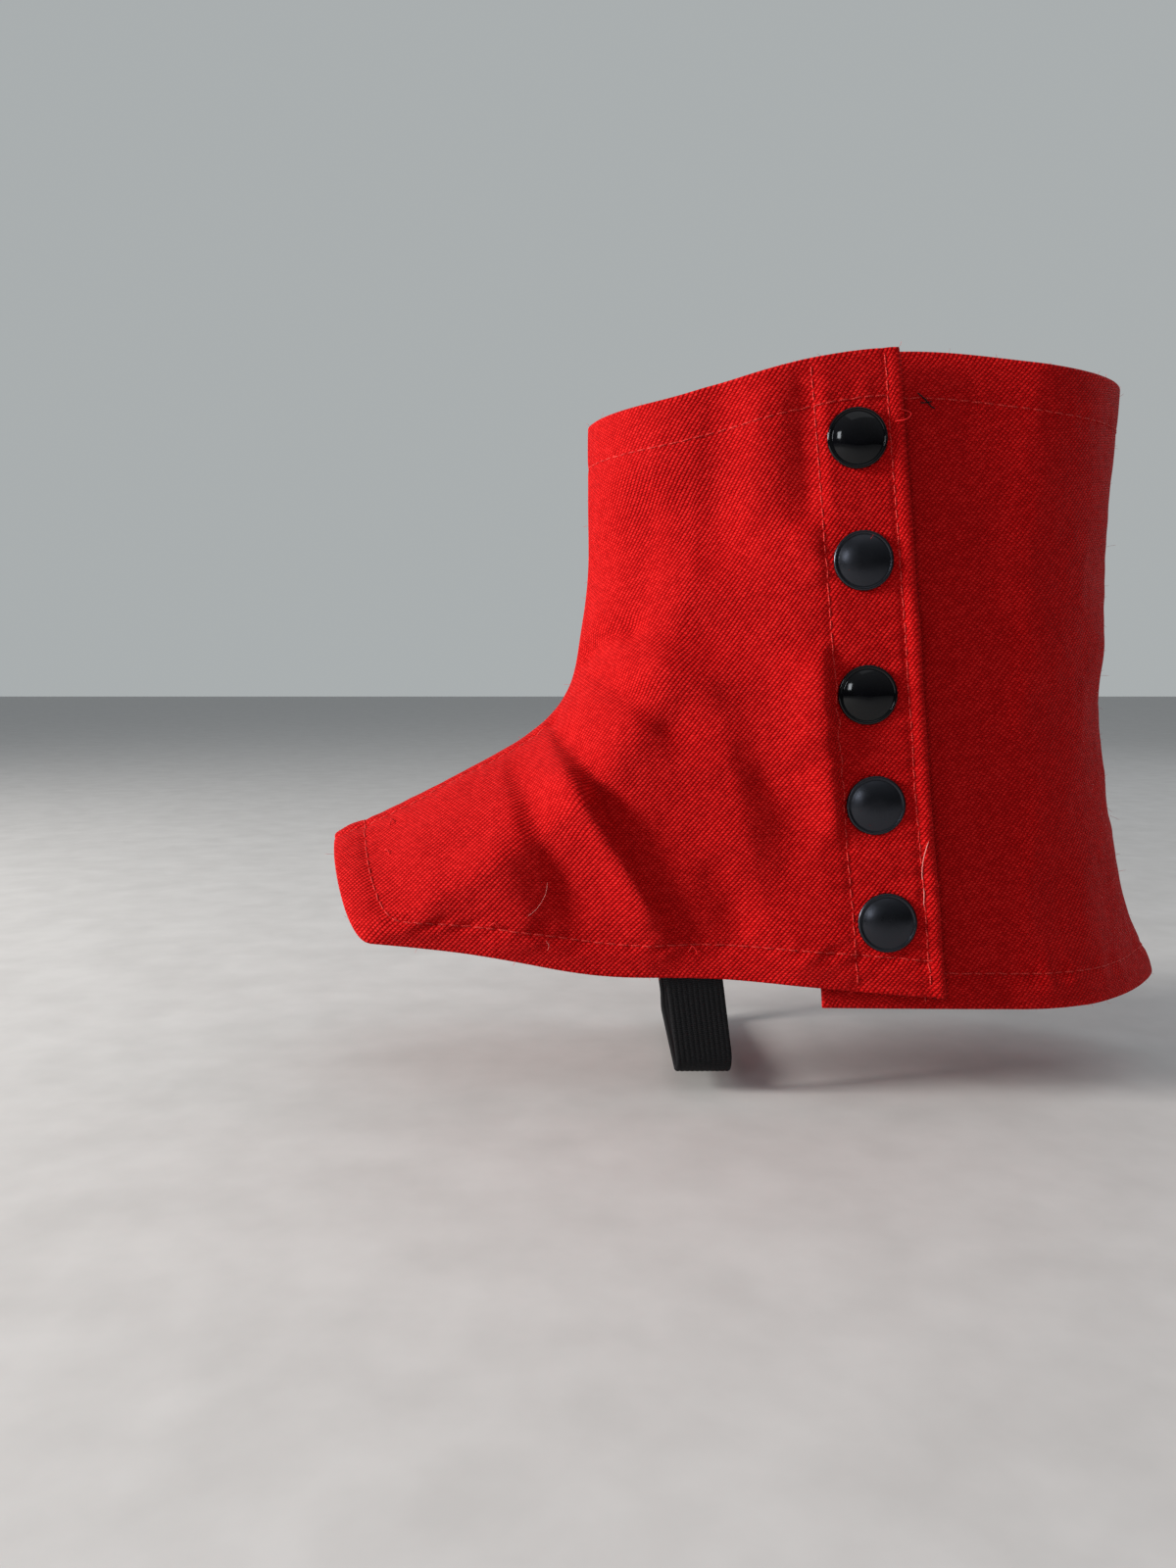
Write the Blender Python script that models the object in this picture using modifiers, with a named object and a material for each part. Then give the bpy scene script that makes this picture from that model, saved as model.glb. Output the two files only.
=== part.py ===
"""A spat: a short cloth gaiter that covers the instep and ankle of a shoe.

It stands as it is worn, hollow and with no shoe in it. The toe points to -X, the heel to +X, and the outer
side, which closes with five snaps, faces -Y. +Z is up the leg. The origin is on the leg's axis at the ankle,
where the shod foot holds the spat.

The cloth is one form, made of girth lines that run from the centre-front seam round one side to the
centre-back seam. SECTIONS gives a girth line for each height, and each cloth piece is a stretch of the form.
"""

import math

import bpy
import numpy as np
from mathutils import Matrix, Vector

MM = 0.001

# Driving sizes, in millimetres.
WALL = 1.0  # one layer of twill, with its nap
DOUBLE = 1.6  # folded hems and the placket
SEAM_GAP = 0.3  # between pieces that are sewn together
CUTTER_SIZE = 400.0  # side of the boxes that trim the panels, larger than the spat
HEIGHT = 160.0  # length of the cloth from rim to hem
RIM_BAND = 11.0  # width of the folded top hem
HEM_BAND = 9.0  # width of the folded bottom hem
LAP_GAP = 2.8  # between the placket and the underlap, held apart by the snaps
UNDERLAP = 30.0  # how far the back piece runs under the front piece
PLACKET = 22.0  # width of the folded placket along the front piece's free edge
RAMP = 40.0  # stretch over which the front piece lifts away to lie over the underlap
FACING = 26.0  # width of the folded edge of the underlap
STANDOFF = LAP_GAP + DOUBLE

# Facets of the cloth: rows between the hems, and columns along them.
FRONT_ROWS, BACK_ROWS = 20, 15
FRONT_COLUMNS, BACK_COLUMNS, INNER_COLUMNS = 29, 15, 27
BAND_EDGE = 0.012  # share of the height over which a hem's two layers thin to one

# Colour, roughness and metallic value of each finish.
CLOTH = ((0.55, 0.006, 0.01), 0.85, 0.0)
ELASTIC = ((0.012, 0.012, 0.014), 0.9, 0.0)
BLACK_METAL = ((0.01, 0.01, 0.013), 0.2, 0.6)
BARE_METAL = ((0.3, 0.3, 0.31), 0.35, 1.0)

# Girth lines, from the top of the spat to its lower hem, in millimetres. A line starts at front_x, front_z on
# the centre-front seam, rounds the nose within `nose`, runs along the side at side_z (plus `crown` at mid
# length), and rounds the back within `heel` to back_x, back_z. Its half width goes from front_w to back_w.
# `front_point` and `back_point` draw the nose and the back from round, 0, to a seam ridge, 1.
COLUMNS = (
    "front_x", "front_z", "side_z", "back_x", "back_z", "crown", "front_w", "back_w",
    "nose", "heel", "front_point", "back_point",
)
SECTIONS = (
    ("rim",      -72.0,  68.0,  67.5, 71.8,  76.5,  7.3, 33.0, 33.0, 29.0, 34.0, 0.35, 0.35),
    ("cuff",     -72.0,  48.0,  49.5, 71.0,  56.0,  5.5, 33.0, 33.0, 28.0, 34.0, 0.35, 0.35),
    ("calf",     -72.0,  29.0,  31.0, 70.4,  35.0,  4.0, 33.0, 33.0, 27.0, 34.0, 0.35, 0.35),
    ("shin",     -74.0,  12.0,  12.5, 70.4,  13.5,  2.5, 33.5, 33.5, 26.0, 34.0, 0.40, 0.35),
    ("ankle",    -77.5,  -3.5,  -6.0, 70.2,  -8.0,  1.0, 34.0, 34.0, 25.0, 34.0, 0.45, 0.35),
    ("bend",     -87.0, -15.2, -22.0, 72.2, -27.5, -1.0, 34.5, 34.0, 24.0, 35.0, 0.50, 0.40),
    ("instep",  -104.0, -25.3, -38.0, 75.8, -45.0, -2.0, 35.2, 35.0, 24.0, 38.0, 0.50, 0.50),
    ("vamp",    -123.0, -35.2, -52.5, 79.4, -61.5, -2.0, 36.2, 36.8, 20.0, 43.0, 0.45, 0.65),
    ("hem",     -143.0, -44.4, -66.0, 89.0, -84.0, -1.0, 37.2, 39.0, 16.0, 52.0, 0.35, 0.85),
)

# The free edge of the front piece, from the rim to the hem.
EDGE_TOP_X, EDGE_HEM_X, EDGE_BOW = 3.4, 17.4, 1.0
# How far each piece's hem hangs below the form's hem line, at its front and back ends.
HEM_DROPS = {"outer_front": (0.0, 1.6), "outer_back": (7.0, 0.0), "inner_panel": (0.0, 0.5)}
# Where the hem dips over the shoe's waist: its middle, half width and depth.
WAIST_X, WAIST_HALF, WAIST_DIP = -70.0, 23.0, 2.6
DROP_STARTS = 0.8  # share of the height above which the hem's drops have no effect

# Largest folds of each side, in millimetres, as lines in side view: soft ridges (+) and troughs (-).
FOLD_COLUMNS = ("from_x", "from_z", "to_x", "to_z", "half_width", "height")
OUTER_FOLDS = (
    ("tongue trough",   -91.0, -24.0,  -78.0, -53.0,  4.5, -2.2),
    ("instep ridge",    -86.0, -18.0,  -56.0, -65.0,  4.0,  1.8),
    ("instep trough",   -80.0, -15.0,  -49.0, -67.0,  4.8, -2.4),
    ("shin ridge",      -77.0,   2.0,  -57.0, -34.0,  6.5,  1.6),
    ("ankle ridge",     -72.0,  12.0,  -50.0,   2.0,  3.8,  0.9),
    ("ankle hollow",    -68.0,   1.0,  -36.0, -19.0,  7.0, -1.4),
    ("placket hollow",  -32.0, -12.0,  -21.0, -42.0,  7.0, -2.2),
    ("placket ridge",   -23.0,   2.0,  -15.0, -42.0,  4.5,  1.6),
    ("cuff hollow",     -21.0,  66.0,  -20.0,  38.0,  5.0, -1.8),
    ("cuff ridge",      -29.0,  68.0,  -28.0,  36.0,  4.5,  1.2),
)
INNER_FOLDS = (
    ("tongue trough",   -90.0, -26.0,  -74.0, -56.0,  5.0, -2.0),
    ("instep ridge",    -82.0, -16.0,  -50.0, -62.0,  5.0,  1.8),
    ("instep trough",   -75.0, -14.0,  -42.0, -58.0,  6.0, -2.0),
    ("ankle ridge",     -72.0,  13.0,  -46.0,   4.0,  4.0,  0.9),
    ("ankle hollow",    -66.0,   2.0,  -30.0, -14.0,  8.0, -1.4),
    ("heel trough",      30.0,  -8.0,   46.0, -48.0,  8.0, -1.6),
    ("cuff hollow",      14.0,  66.0,    8.0,  30.0,  8.0, -1.5),
)
FOLD_STARTS = 7.0  # distance from a seam over which a fold grows to its full height
# Shares of a fold's length: what it fades over at each end, and how far it runs past them.
FOLD_FADE, FOLD_END = 0.3, 0.15

# Snap centres on the placket, in side view.
SNAPS = (("1", -6.6, 57.6), ("2", -4.5, 28.1), ("3", -3.0, -4.7), ("4", -0.5, -32.2), ("5", 2.5, -61.6))
CAP_R, CAP_RISE, CAP_SHOULDER = 7.4, 1.8, 0.7
SOCKET_R, SOCKET_DEEP = 5.2, 1.5
FLANGE_R, FLANGE_DEEP = 4.6, 0.4
KNOB_R, KNOB_RISE = 1.9, 1.1
POST_R, HOLE_R = 1.5, 2.0
EYELET_R, EYELET_DEEP = 4.4, 0.7
SNAP_SPAN = 0.04  # share of the form to each side of a snap that its tilt is taken from
CLEAR = 0.35  # between a snap's discs and the cloth
CHAMFER = 0.3  # on the edges of the snap's discs
CAP_STEPS, STUD_STEPS, HOLE_STEPS = 18, 12, 12

# The elastic that runs under the waist of the shoe.
STRAP_WIDE, STRAP_THICK = 14.5, 1.2
STRAP_X, STRAP_SOLE_X = -45.3, -42.0  # its middle at the hem, and under the sole
STRAP_SOLE_Z, STRAP_SOLE_HALF, STRAP_CORNER = -102.5, 33.0, 6.0
STRAP_LEAN = 8.0  # degrees that it leans back as it goes down
STRAP_TURN_UP = 0.93  # share of the height at which its sewn ends stop, inside the hem


def smooth(t):
    """0 below 0, 1 above 1, and a smooth step between."""
    t = np.clip(t, 0.0, 1.0)
    return t * t * (3 - 2 * t)


def section_at(v):
    """The columns of SECTIONS at height share v (0 rim, 1 hem), on a smooth curve through the rows."""
    rows = np.array([row[1:] for row in SECTIONS])
    at = np.clip(np.asarray(v, float), 0, 1) * (len(rows) - 1)
    i = np.minimum(at.astype(int), len(rows) - 2)
    t = (at - i)[..., None]
    before, a, b, after = (rows[np.clip(i + k, 0, len(rows) - 1)] for k in (-1, 0, 1, 2))
    curve = 2 * a + (b - before) * t + (2 * before - 5 * a + 4 * b - after) * t**2
    curve = (curve + (3 * a - before - 3 * b + after) * t**3) / 2
    return dict(zip(COLUMNS, np.moveaxis(curve, -1, 0)))


def rounding(t, point):
    """Share of the half width at share t of a nose's depth: a quarter ellipse, made a wedge by `point`."""
    rest = 1 - np.clip(t, 0.0, 1.0)
    return (1 - point) * np.sqrt(np.maximum(1 - rest**2, 0)) + point * (1 - rest**2)


def form(v, c):
    """Points of the outer side's form, at height share v and chord share c (0 front seam, 1 back seam)."""
    v, c = np.broadcast_arrays(v, c)
    s = section_at(v)
    long = s["back_x"] - s["front_x"]
    front = rounding(c * long / s["nose"], s["front_point"])
    back = rounding((1 - c) * long / s["heel"], s["back_point"])
    side = s["side_z"] + (s["back_z"] - s["side_z"]) * c + s["crown"] * np.sin(np.pi * c) ** 2.5
    return np.stack(
        [
            s["front_x"] + long * c,
            -(s["front_w"] + (s["back_w"] - s["front_w"]) * c) * front * back,
            side + (s["front_z"] - s["side_z"]) * (1 - front**2),
        ],
        axis=-1,
    )


def edge_x(v):
    """Where the front piece's free edge crosses height share v."""
    return EDGE_TOP_X + (EDGE_HEM_X - EDGE_TOP_X) * v + EDGE_BOW * 4 * v * (1 - v)


def chord_share(v, x):
    """Chord share at which the girth line of height share v reaches x."""
    s = section_at(v)
    return (x - s["front_x"]) / (s["back_x"] - s["front_x"])


def stretch(v, start, end, columns, crowding=1.0):
    """Chord shares from start to end at each height share, evenly along the cloth or crowded to the start."""
    angle = np.linspace(0, np.pi, 241)
    fine = start[:, None] + (end - start)[:, None] * (1 - np.cos(angle)) / 2
    points = form(v[:, None], fine)
    steps = np.linalg.norm(np.diff(points, axis=1), axis=2)
    along = np.concatenate([np.zeros((len(v), 1)), np.cumsum(steps, axis=1)], axis=1)
    wanted = np.linspace(0, 1, columns) ** crowding
    return np.array([np.interp(wanted * a[-1], a, f) for a, f in zip(along, fine)])


def normals(points):
    """Outward unit normals of a grid of points."""
    out = np.cross(np.gradient(points, axis=0), np.gradient(points, axis=1))
    return out / np.linalg.norm(out, axis=2, keepdims=True)


def fold_height(points, folds):
    """How far each point moves out: the sum of ridges and troughs, each a line with a bell-shaped section."""
    total = np.zeros(points.shape[:2])
    for _name, *numbers in folds:
        f = dict(zip(FOLD_COLUMNS, numbers))
        start = np.array([f["from_x"], f["from_z"]])
        line = np.array([f["to_x"], f["to_z"]]) - start
        away = points[..., [0, 2]] - start
        share = (away @ line) / (line @ line)
        beside = (away[..., 0] * line[1] - away[..., 1] * line[0]) / np.linalg.norm(line)
        ends = smooth(share / FOLD_FADE + FOLD_END) * smooth((1 - share) / FOLD_FADE + FOLD_END)
        total += f["height"] * np.exp(-((beside / f["half_width"]) ** 2)) * ends
    return total


def hang_hem(name, points, v):
    """Lowers the hem of a panel by its drops, and by the dip over the shoe's waist."""
    front, back = HEM_DROPS[name]
    share = np.linspace(0, 1, points.shape[1])
    waist = WAIST_DIP * np.exp(-(((points[..., 0] - WAIST_X) / WAIST_HALF) ** 2))
    low = np.clip((v[:, None] - DROP_STARTS) / (1 - DROP_STARTS), 0, 1) ** 2
    points[..., 2] -= (front + (back - front) * share + waist) * low
    return points


def folded(points, folds, v, lap=False):
    """Moves a panel's points out by its folds. `lap` keeps its placket flat and clear of the underlap."""
    steps = np.linalg.norm(np.diff(points, axis=1), axis=2)
    from_front = np.concatenate([np.zeros((len(v), 1)), np.cumsum(steps, axis=1)], axis=1)
    lift = fold_height(points, folds) * smooth(from_front / FOLD_STARTS)
    if lap:
        from_placket = (edge_x(v) - PLACKET)[:, None] - points[..., 0]
        lift = lift * smooth(from_placket / FOLD_STARTS + 0.5)
        lift = lift + STANDOFF * smooth(1 - from_placket / RAMP)
    else:
        lift = lift * smooth((from_front[:, -1:] - from_front) / FOLD_STARTS)
    return points + normals(points) * lift[..., None]


def add_piece(name, collection, mesh, colour, roughness, metallic):
    """An object with its own material, in the part's collection."""
    made = bpy.data.objects.new(name, mesh)
    material = bpy.data.materials.new(name)
    material.use_nodes = True
    shader = material.node_tree.nodes["Principled BSDF"]
    shader.inputs["Base Color"].default_value = (*colour, 1)
    shader.inputs["Roughness"].default_value = roughness
    shader.inputs["Metallic"].default_value = metallic
    mesh.materials.append(material)
    collection.objects.link(made)
    return made


def sheet_mesh(name, points):
    """A mesh of quads over a grid of points given in millimetres, facing outward."""
    rows, columns = points.shape[:2]
    index = np.arange(rows * columns).reshape(rows, columns)
    quads = np.stack([index[:-1, :-1], index[1:, :-1], index[1:, 1:], index[:-1, 1:]], axis=-1)
    mesh = bpy.data.meshes.new(name)
    mesh.from_pydata((points.reshape(-1, 3) * MM).tolist(), [], quads.reshape(-1, 4).tolist())
    return mesh


def wall(obj, thick, doubled):
    """Gives a sheet its thickness, inward: two layers where `doubled` is 1, and one layer elsewhere."""
    group = obj.vertex_groups.new(name="doubled")
    for i, weight in enumerate(doubled.reshape(-1)):
        group.add([i], float(weight), "REPLACE")
    solid = obj.modifiers.new("wall", "SOLIDIFY")
    solid.thickness = thick * MM
    solid.offset = -1
    solid.use_even_offset = True
    solid.vertex_group = group.name
    solid.thickness_vertex_group = WALL / DOUBLE


def cut(obj, cutter):
    """Takes the cutter's shape out of an object."""
    modifier = obj.modifiers.new("cut " + cutter.name, "BOOLEAN")
    modifier.operation = "DIFFERENCE"
    modifier.object = cutter


def helper(obj, collection):
    """Moves a cutter to its own collection and keeps it out of renders."""
    for old in obj.users_collection:
        old.objects.unlink(obj)
    collection.objects.link(obj)
    obj.hide_render = True
    obj.display_type = "WIRE"
    return obj


def seam_cutter(name, side, collection):
    """A box over one side of the centre plane, 1 or -1, which trims the other side's panels to the seam."""
    size = CUTTER_SIZE * MM
    bpy.ops.mesh.primitive_cube_add(size=size, location=(0, side * (size - SEAM_GAP * MM) / 2, 0))
    box = bpy.context.object
    box.name = name
    return helper(box, collection)


def snap_frames():
    """Each snap's number and its place on the underlap's outer face, with +Z along the outward normal."""
    frames = []
    for number, x, z in SNAPS:
        low, high = 0.0, 1.0
        for _halving in range(40):
            v = (low + high) / 2
            at = form(v, chord_share(v, x))
            low, high = (v, high) if at[2] > z else (low, v)
        c = chord_share(v, x)
        along = form(v, c + SNAP_SPAN) - form(v, c - SNAP_SPAN)
        below, above = v + SNAP_SPAN, v - SNAP_SPAN
        down = form(below, chord_share(below, x)) - form(above, chord_share(above, x))
        out = Vector(np.cross(down, along)).normalized()
        turn = out.to_track_quat("Z", "Y").to_matrix().to_4x4()
        frames.append((number, Matrix.Translation(Vector(at) * MM) @ turn))
    return frames


def turned(name, profile, steps, collection, finish):
    """A solid of revolution about +Z. The profile is (radius, height) pairs in millimetres, top to bottom."""
    mesh = bpy.data.meshes.new(name)
    points = [(r * MM, 0, h * MM) for r, h in profile]
    mesh.from_pydata(points, [(i, i + 1) for i in range(len(points) - 1)], [])
    made = add_piece(name, collection, mesh, *finish)
    screw = made.modifiers.new("turn", "SCREW")
    screw.steps = screw.render_steps = steps
    screw.use_merge_vertices = True
    screw.merge_threshold = 0.00005
    return made


def arc(cx, cy, r, start, end, steps):
    """Points of an arc in the profile plane, in degrees."""
    return [
        (cx + r * math.cos(math.radians(a)), cy + r * math.sin(math.radians(a)))
        for a in np.linspace(start, end, steps)
    ]


def cap_profile():
    """The outer half of a snap: domed cap, post through the cloth, and the socket that grips the stud."""
    base = STANDOFF + CLEAR
    top = base + CAP_RISE
    socket_top = LAP_GAP - CLEAR
    socket_low = socket_top - SOCKET_DEEP
    recess_r, recess_top = KNOB_R + CLEAR, FLANGE_DEEP + CLEAR + KNOB_RISE + CLEAR
    return [
        (0, top),
        (CAP_R * 0.5, top - 0.2),
        (CAP_R * 0.8, top - 0.5),
        *arc(CAP_R - CAP_SHOULDER, base + CAP_SHOULDER, CAP_SHOULDER, 60, 0, 3),
        (CAP_R, base + CHAMFER),
        (CAP_R - CHAMFER, base),
        (POST_R, base),
        (POST_R, socket_top),
        (SOCKET_R - CHAMFER, socket_top),
        (SOCKET_R, socket_top - CHAMFER),
        (SOCKET_R - CHAMFER, socket_low),
        (recess_r, socket_low),
        (recess_r, recess_top),
        (0, recess_top),
    ]


def stud_profile():
    """The inner half of a snap: knob and flange outside the underlap, post, and the eyelet inside."""
    flange_top = CLEAR + FLANGE_DEEP
    knob_top = flange_top + KNOB_RISE
    eyelet_top = -DOUBLE - CLEAR
    eyelet_low = eyelet_top - EYELET_DEEP
    return [
        (0, knob_top),
        (KNOB_R - CHAMFER, knob_top),
        (KNOB_R, knob_top - CHAMFER),
        (KNOB_R - CHAMFER, flange_top),
        (FLANGE_R, flange_top),
        (FLANGE_R, CLEAR),
        (POST_R, CLEAR),
        (POST_R, eyelet_top),
        (EYELET_R - CHAMFER, eyelet_top),
        (EYELET_R, eyelet_top - CHAMFER),
        (EYELET_R - CHAMFER, eyelet_low),
        (0, eyelet_low),
    ]


def hole_cutter(number, place, collection):
    """A pin through both layers of the closure, a little wider than the snap's post."""
    bpy.ops.mesh.primitive_cylinder_add(vertices=HOLE_STEPS, radius=HOLE_R * MM, depth=4 * STANDOFF * MM)
    pin = bpy.context.object
    pin.name = "hole_" + number
    pin.matrix_world = place
    return helper(pin, collection)


def height_shares(rows):
    """Height shares of a panel's rows, with rows at the edges of its folded hems and `rows` between them."""
    rim, hem = RIM_BAND / HEIGHT, 1 - HEM_BAND / HEIGHT
    between = np.linspace(rim + BAND_EDGE, hem - BAND_EDGE, rows)
    return np.concatenate([[0, rim / 2, rim], between, [hem, (1 + hem) / 2, 1]])


def doubled_share(v, folded_edge):
    """1 where a panel is two layers thick: in its hems, and along its folded edge."""
    band = (v <= RIM_BAND / HEIGHT) | (v >= 1 - HEM_BAND / HEIGHT)
    return np.maximum(band[:, None], folded_edge).astype(float)


def outer_front(parts, cutters):
    """The outer front piece, from the centre-front seam to its free edge, with the folded placket."""
    v = height_shares(FRONT_ROWS)
    c = stretch(v, np.zeros(len(v)), chord_share(v, edge_x(v)), FRONT_COLUMNS, crowding=1.15)
    points = hang_hem("outer_front", folded(form(v[:, None], c), OUTER_FOLDS, v, lap=True), v)
    placket = points[..., 0] > (edge_x(v) - PLACKET)[:, None]
    made = add_piece("outer_front", parts, sheet_mesh("outer_front", points), *CLOTH)
    wall(made, DOUBLE, doubled_share(v, placket))
    cut(made, cutters["past_outer"])
    return made


def outer_back(parts, cutters):
    """The outer back piece, from the underlap's front edge to the centre-back seam."""
    v = height_shares(BACK_ROWS)
    c = stretch(v, chord_share(v, edge_x(v) - UNDERLAP), np.ones(len(v)), BACK_COLUMNS)
    points = hang_hem("outer_back", form(v[:, None], c), v)
    facing = points[..., 0] < (edge_x(v) - UNDERLAP + FACING)[:, None]
    made = add_piece("outer_back", parts, sheet_mesh("outer_back", points), *CLOTH)
    wall(made, DOUBLE, doubled_share(v, facing))
    cut(made, cutters["past_outer"])
    return made


def inner_panel(parts, cutters):
    """The inner side, one piece from the centre-front seam to the centre-back seam."""
    v = height_shares(BACK_ROWS)
    c = stretch(v, np.zeros(len(v)), np.ones(len(v)), INNER_COLUMNS)
    points = hang_hem("inner_panel", folded(form(v[:, None], c), INNER_FOLDS, v), v)
    points = points[:, ::-1] * (1, -1, 1)
    made = add_piece("inner_panel", parts, sheet_mesh("inner_panel", points), *CLOTH)
    wall(made, DOUBLE, doubled_share(v, np.zeros(c.shape)))
    cut(made, cutters["past_inner"])
    return made


def strap_line():
    """The middle line of the strap's outer face, as (x, y, z): down inside the outer hem, under, and up."""
    inward = DOUBLE + 2 * SEAM_GAP
    v = np.linspace(STRAP_TURN_UP, 1.0, 4)
    inside_hem = form(v, chord_share(v, STRAP_X)) + (0, inward, 0)
    corner = np.array([STRAP_SOLE_X, -STRAP_SOLE_HALF, STRAP_SOLE_Z + STRAP_CORNER])
    share = np.linspace(0, 1, 4)[1:, None]
    down = inside_hem[-1] * (1 - share) + corner * share
    bend = arc(corner[1] + STRAP_CORNER, corner[2], STRAP_CORNER, 198, 270, 5)
    turn = [(STRAP_SOLE_X, y, z) for y, z in bend]
    under = [(STRAP_SOLE_X, y, STRAP_SOLE_Z) for y in (-STRAP_SOLE_HALF / 2, 0)]
    half = np.concatenate([inside_hem, down, turn, under])
    return np.concatenate([half, half[-2::-1] * (1, -1, 1)])


def strap(parts):
    """The elastic: a flat band with its ends inside the hems and its middle under the shoe's waist."""
    line = strap_line()
    upright = smooth((line[:, 2:] - STRAP_SOLE_Z) / STRAP_CORNER)
    tilt = math.radians(STRAP_LEAN) * upright
    half = np.concatenate([np.cos(tilt), 0 * tilt, np.sin(tilt)], axis=1) * STRAP_WIDE / 2
    points = np.stack([line - half, line + half], axis=1)
    made = add_piece("strap", parts, sheet_mesh("strap", points), *ELASTIC)
    solid = made.modifiers.new("wall", "SOLIDIFY")
    solid.thickness = STRAP_THICK * MM
    solid.offset = -1
    solid.use_even_offset = True
    return made


def build():
    """Clears the scene and makes every piece of the spat."""
    for old in list(bpy.data.objects):
        bpy.data.objects.remove(old)
    parts = bpy.data.collections.new("spat")
    helpers = bpy.data.collections.new("cutters")
    for collection in (parts, helpers):
        bpy.context.scene.collection.children.link(collection)
    cutters = {
        "past_outer": seam_cutter("past_outer", 1, helpers),
        "past_inner": seam_cutter("past_inner", -1, helpers),
    }
    front = outer_front(parts, cutters)
    back = outer_back(parts, cutters)
    inner_panel(parts, cutters)
    strap(parts)
    for number, place in snap_frames():
        pin = hole_cutter(number, place, helpers)
        cut(front, pin)
        cut(back, pin)
        cap = turned("snap_cap_" + number, cap_profile(), CAP_STEPS, parts, BLACK_METAL)
        stud = turned("snap_stud_" + number, stud_profile(), STUD_STEPS, parts, BARE_METAL)
        cap.matrix_world = stud.matrix_world = place


build()
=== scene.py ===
# %% [markdown]
# # A spat, as it is worn
# A spat is a short cloth gaiter: it covers the instep and the ankle of a shoe, closes along its outer side
# with snaps, and is held down by an elastic under the shoe's waist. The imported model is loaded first, because
# it says where every piece lies. Each piece that follows is drawn round it, in the same place.

import math

import bpy
import numpy as np
from mathutils import Matrix, Vector


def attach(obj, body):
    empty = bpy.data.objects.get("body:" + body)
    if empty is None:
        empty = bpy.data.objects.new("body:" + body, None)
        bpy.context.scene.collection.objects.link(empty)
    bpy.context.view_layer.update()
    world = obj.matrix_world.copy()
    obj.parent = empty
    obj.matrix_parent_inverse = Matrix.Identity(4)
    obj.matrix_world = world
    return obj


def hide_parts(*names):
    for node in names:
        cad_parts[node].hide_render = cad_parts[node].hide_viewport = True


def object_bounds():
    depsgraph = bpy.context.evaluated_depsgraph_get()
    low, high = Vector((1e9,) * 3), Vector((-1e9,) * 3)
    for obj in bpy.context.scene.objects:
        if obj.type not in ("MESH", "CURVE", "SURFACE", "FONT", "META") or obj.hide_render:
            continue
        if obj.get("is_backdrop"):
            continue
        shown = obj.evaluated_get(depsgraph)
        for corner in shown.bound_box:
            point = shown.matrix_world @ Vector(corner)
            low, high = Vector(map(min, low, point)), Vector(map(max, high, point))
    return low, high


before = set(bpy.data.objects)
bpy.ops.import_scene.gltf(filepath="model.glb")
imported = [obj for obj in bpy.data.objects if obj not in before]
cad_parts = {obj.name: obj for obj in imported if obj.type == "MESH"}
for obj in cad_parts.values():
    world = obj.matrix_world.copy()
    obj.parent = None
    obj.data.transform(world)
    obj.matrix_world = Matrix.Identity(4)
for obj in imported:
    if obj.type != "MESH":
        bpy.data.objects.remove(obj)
cad_low, cad_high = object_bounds()
MM = 0.001  # everything below is worked out in millimetres, and becomes metres in the mesh
print("solids in the frame:", len(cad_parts))
print("box of the solids, mm:", [round((b - a) / MM, 1) for a, b in zip(cad_low, cad_high)])

# %% [markdown]
# ## Camera
# A camera stands close to the spat's outer side, a little above its middle, and tips down by five degrees.
# Its lens is wide and near, so it sees the tongue and the heel at a slant, each from the picture's middle.

# %% Camera
CAMERA_AT = (-0.072, -0.3306, 0.0)
CAMERA_TIP = 84.7755  # degrees up from straight down
CAMERA_LENS = 27.07


def put(name, data):
    """A new object in the scene that holds `data`."""
    made = bpy.data.objects.new(name, data)
    bpy.context.scene.collection.objects.link(made)
    return made


camera = put("camera", bpy.data.cameras.new("camera"))
camera.data.lens = CAMERA_LENS
camera.data.clip_start = 0.01
camera.location = CAMERA_AT
camera.rotation_euler = (math.radians(CAMERA_TIP), 0, 0)
bpy.context.scene.camera = camera
bpy.context.scene.view_settings.view_transform = "Standard"
print("camera lens, mm:", camera.data.lens)

# %% [markdown]
# ## Light
# Cloth shows its weave and folds when the light skims over it. One soft window-like panel stands at the toe
# end and lights the outer side at a low angle. A wide weak panel overhead, one behind the heel and a small
# card in front keep the hollows from going black.


# %% Light
def light_panel(name, at, aim, size, watts, colour):
    """A rectangular light of `size` (width, height) in metres, at `at`, facing `aim`."""
    lamp = bpy.data.lights.new(name, "AREA")
    lamp.shape = "RECTANGLE"
    lamp.size, lamp.size_y = size
    lamp.energy = watts
    lamp.color = colour
    holder = put(name, lamp)
    holder.location = at
    holder.rotation_euler = (Vector(aim) - Vector(at)).to_track_quat("-Z", "Y").to_euler()


PANELS_OF_LIGHT = {  # where it stands, what it faces, its size, its power and its colour
    "window": ((-1.2, -0.25, 0.36), (0.0, -0.03, 0.0), (0.30, 0.34), 23, (1.0, 0.96, 0.92)),
    "overhead": ((0.2, -0.3, 1.3), (0, 0, 0), (1.4, 1.4), 2.2, (0.94, 0.97, 1.0)),
    "heel_fill": ((1.1, 0.5, 0.6), (0.03, 0, 0), (0.9, 0.9), 2.5, (0.95, 0.97, 1.0)),
    "front_card": ((-0.5, -1.1, 0.36), (0, 0, 0), (0.16, 0.26), 1.5, (0.9, 0.95, 1.0)),
}
for label, panel in PANELS_OF_LIGHT.items():
    light_panel(label, *panel)

# %% [markdown]
# ## Room
# What the metal mirrors, and what fills the hollows, is a room with one bright side. The camera sees a plain
# backdrop instead. Two small helpers add nodes to a tree, here and in every material that follows.

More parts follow.
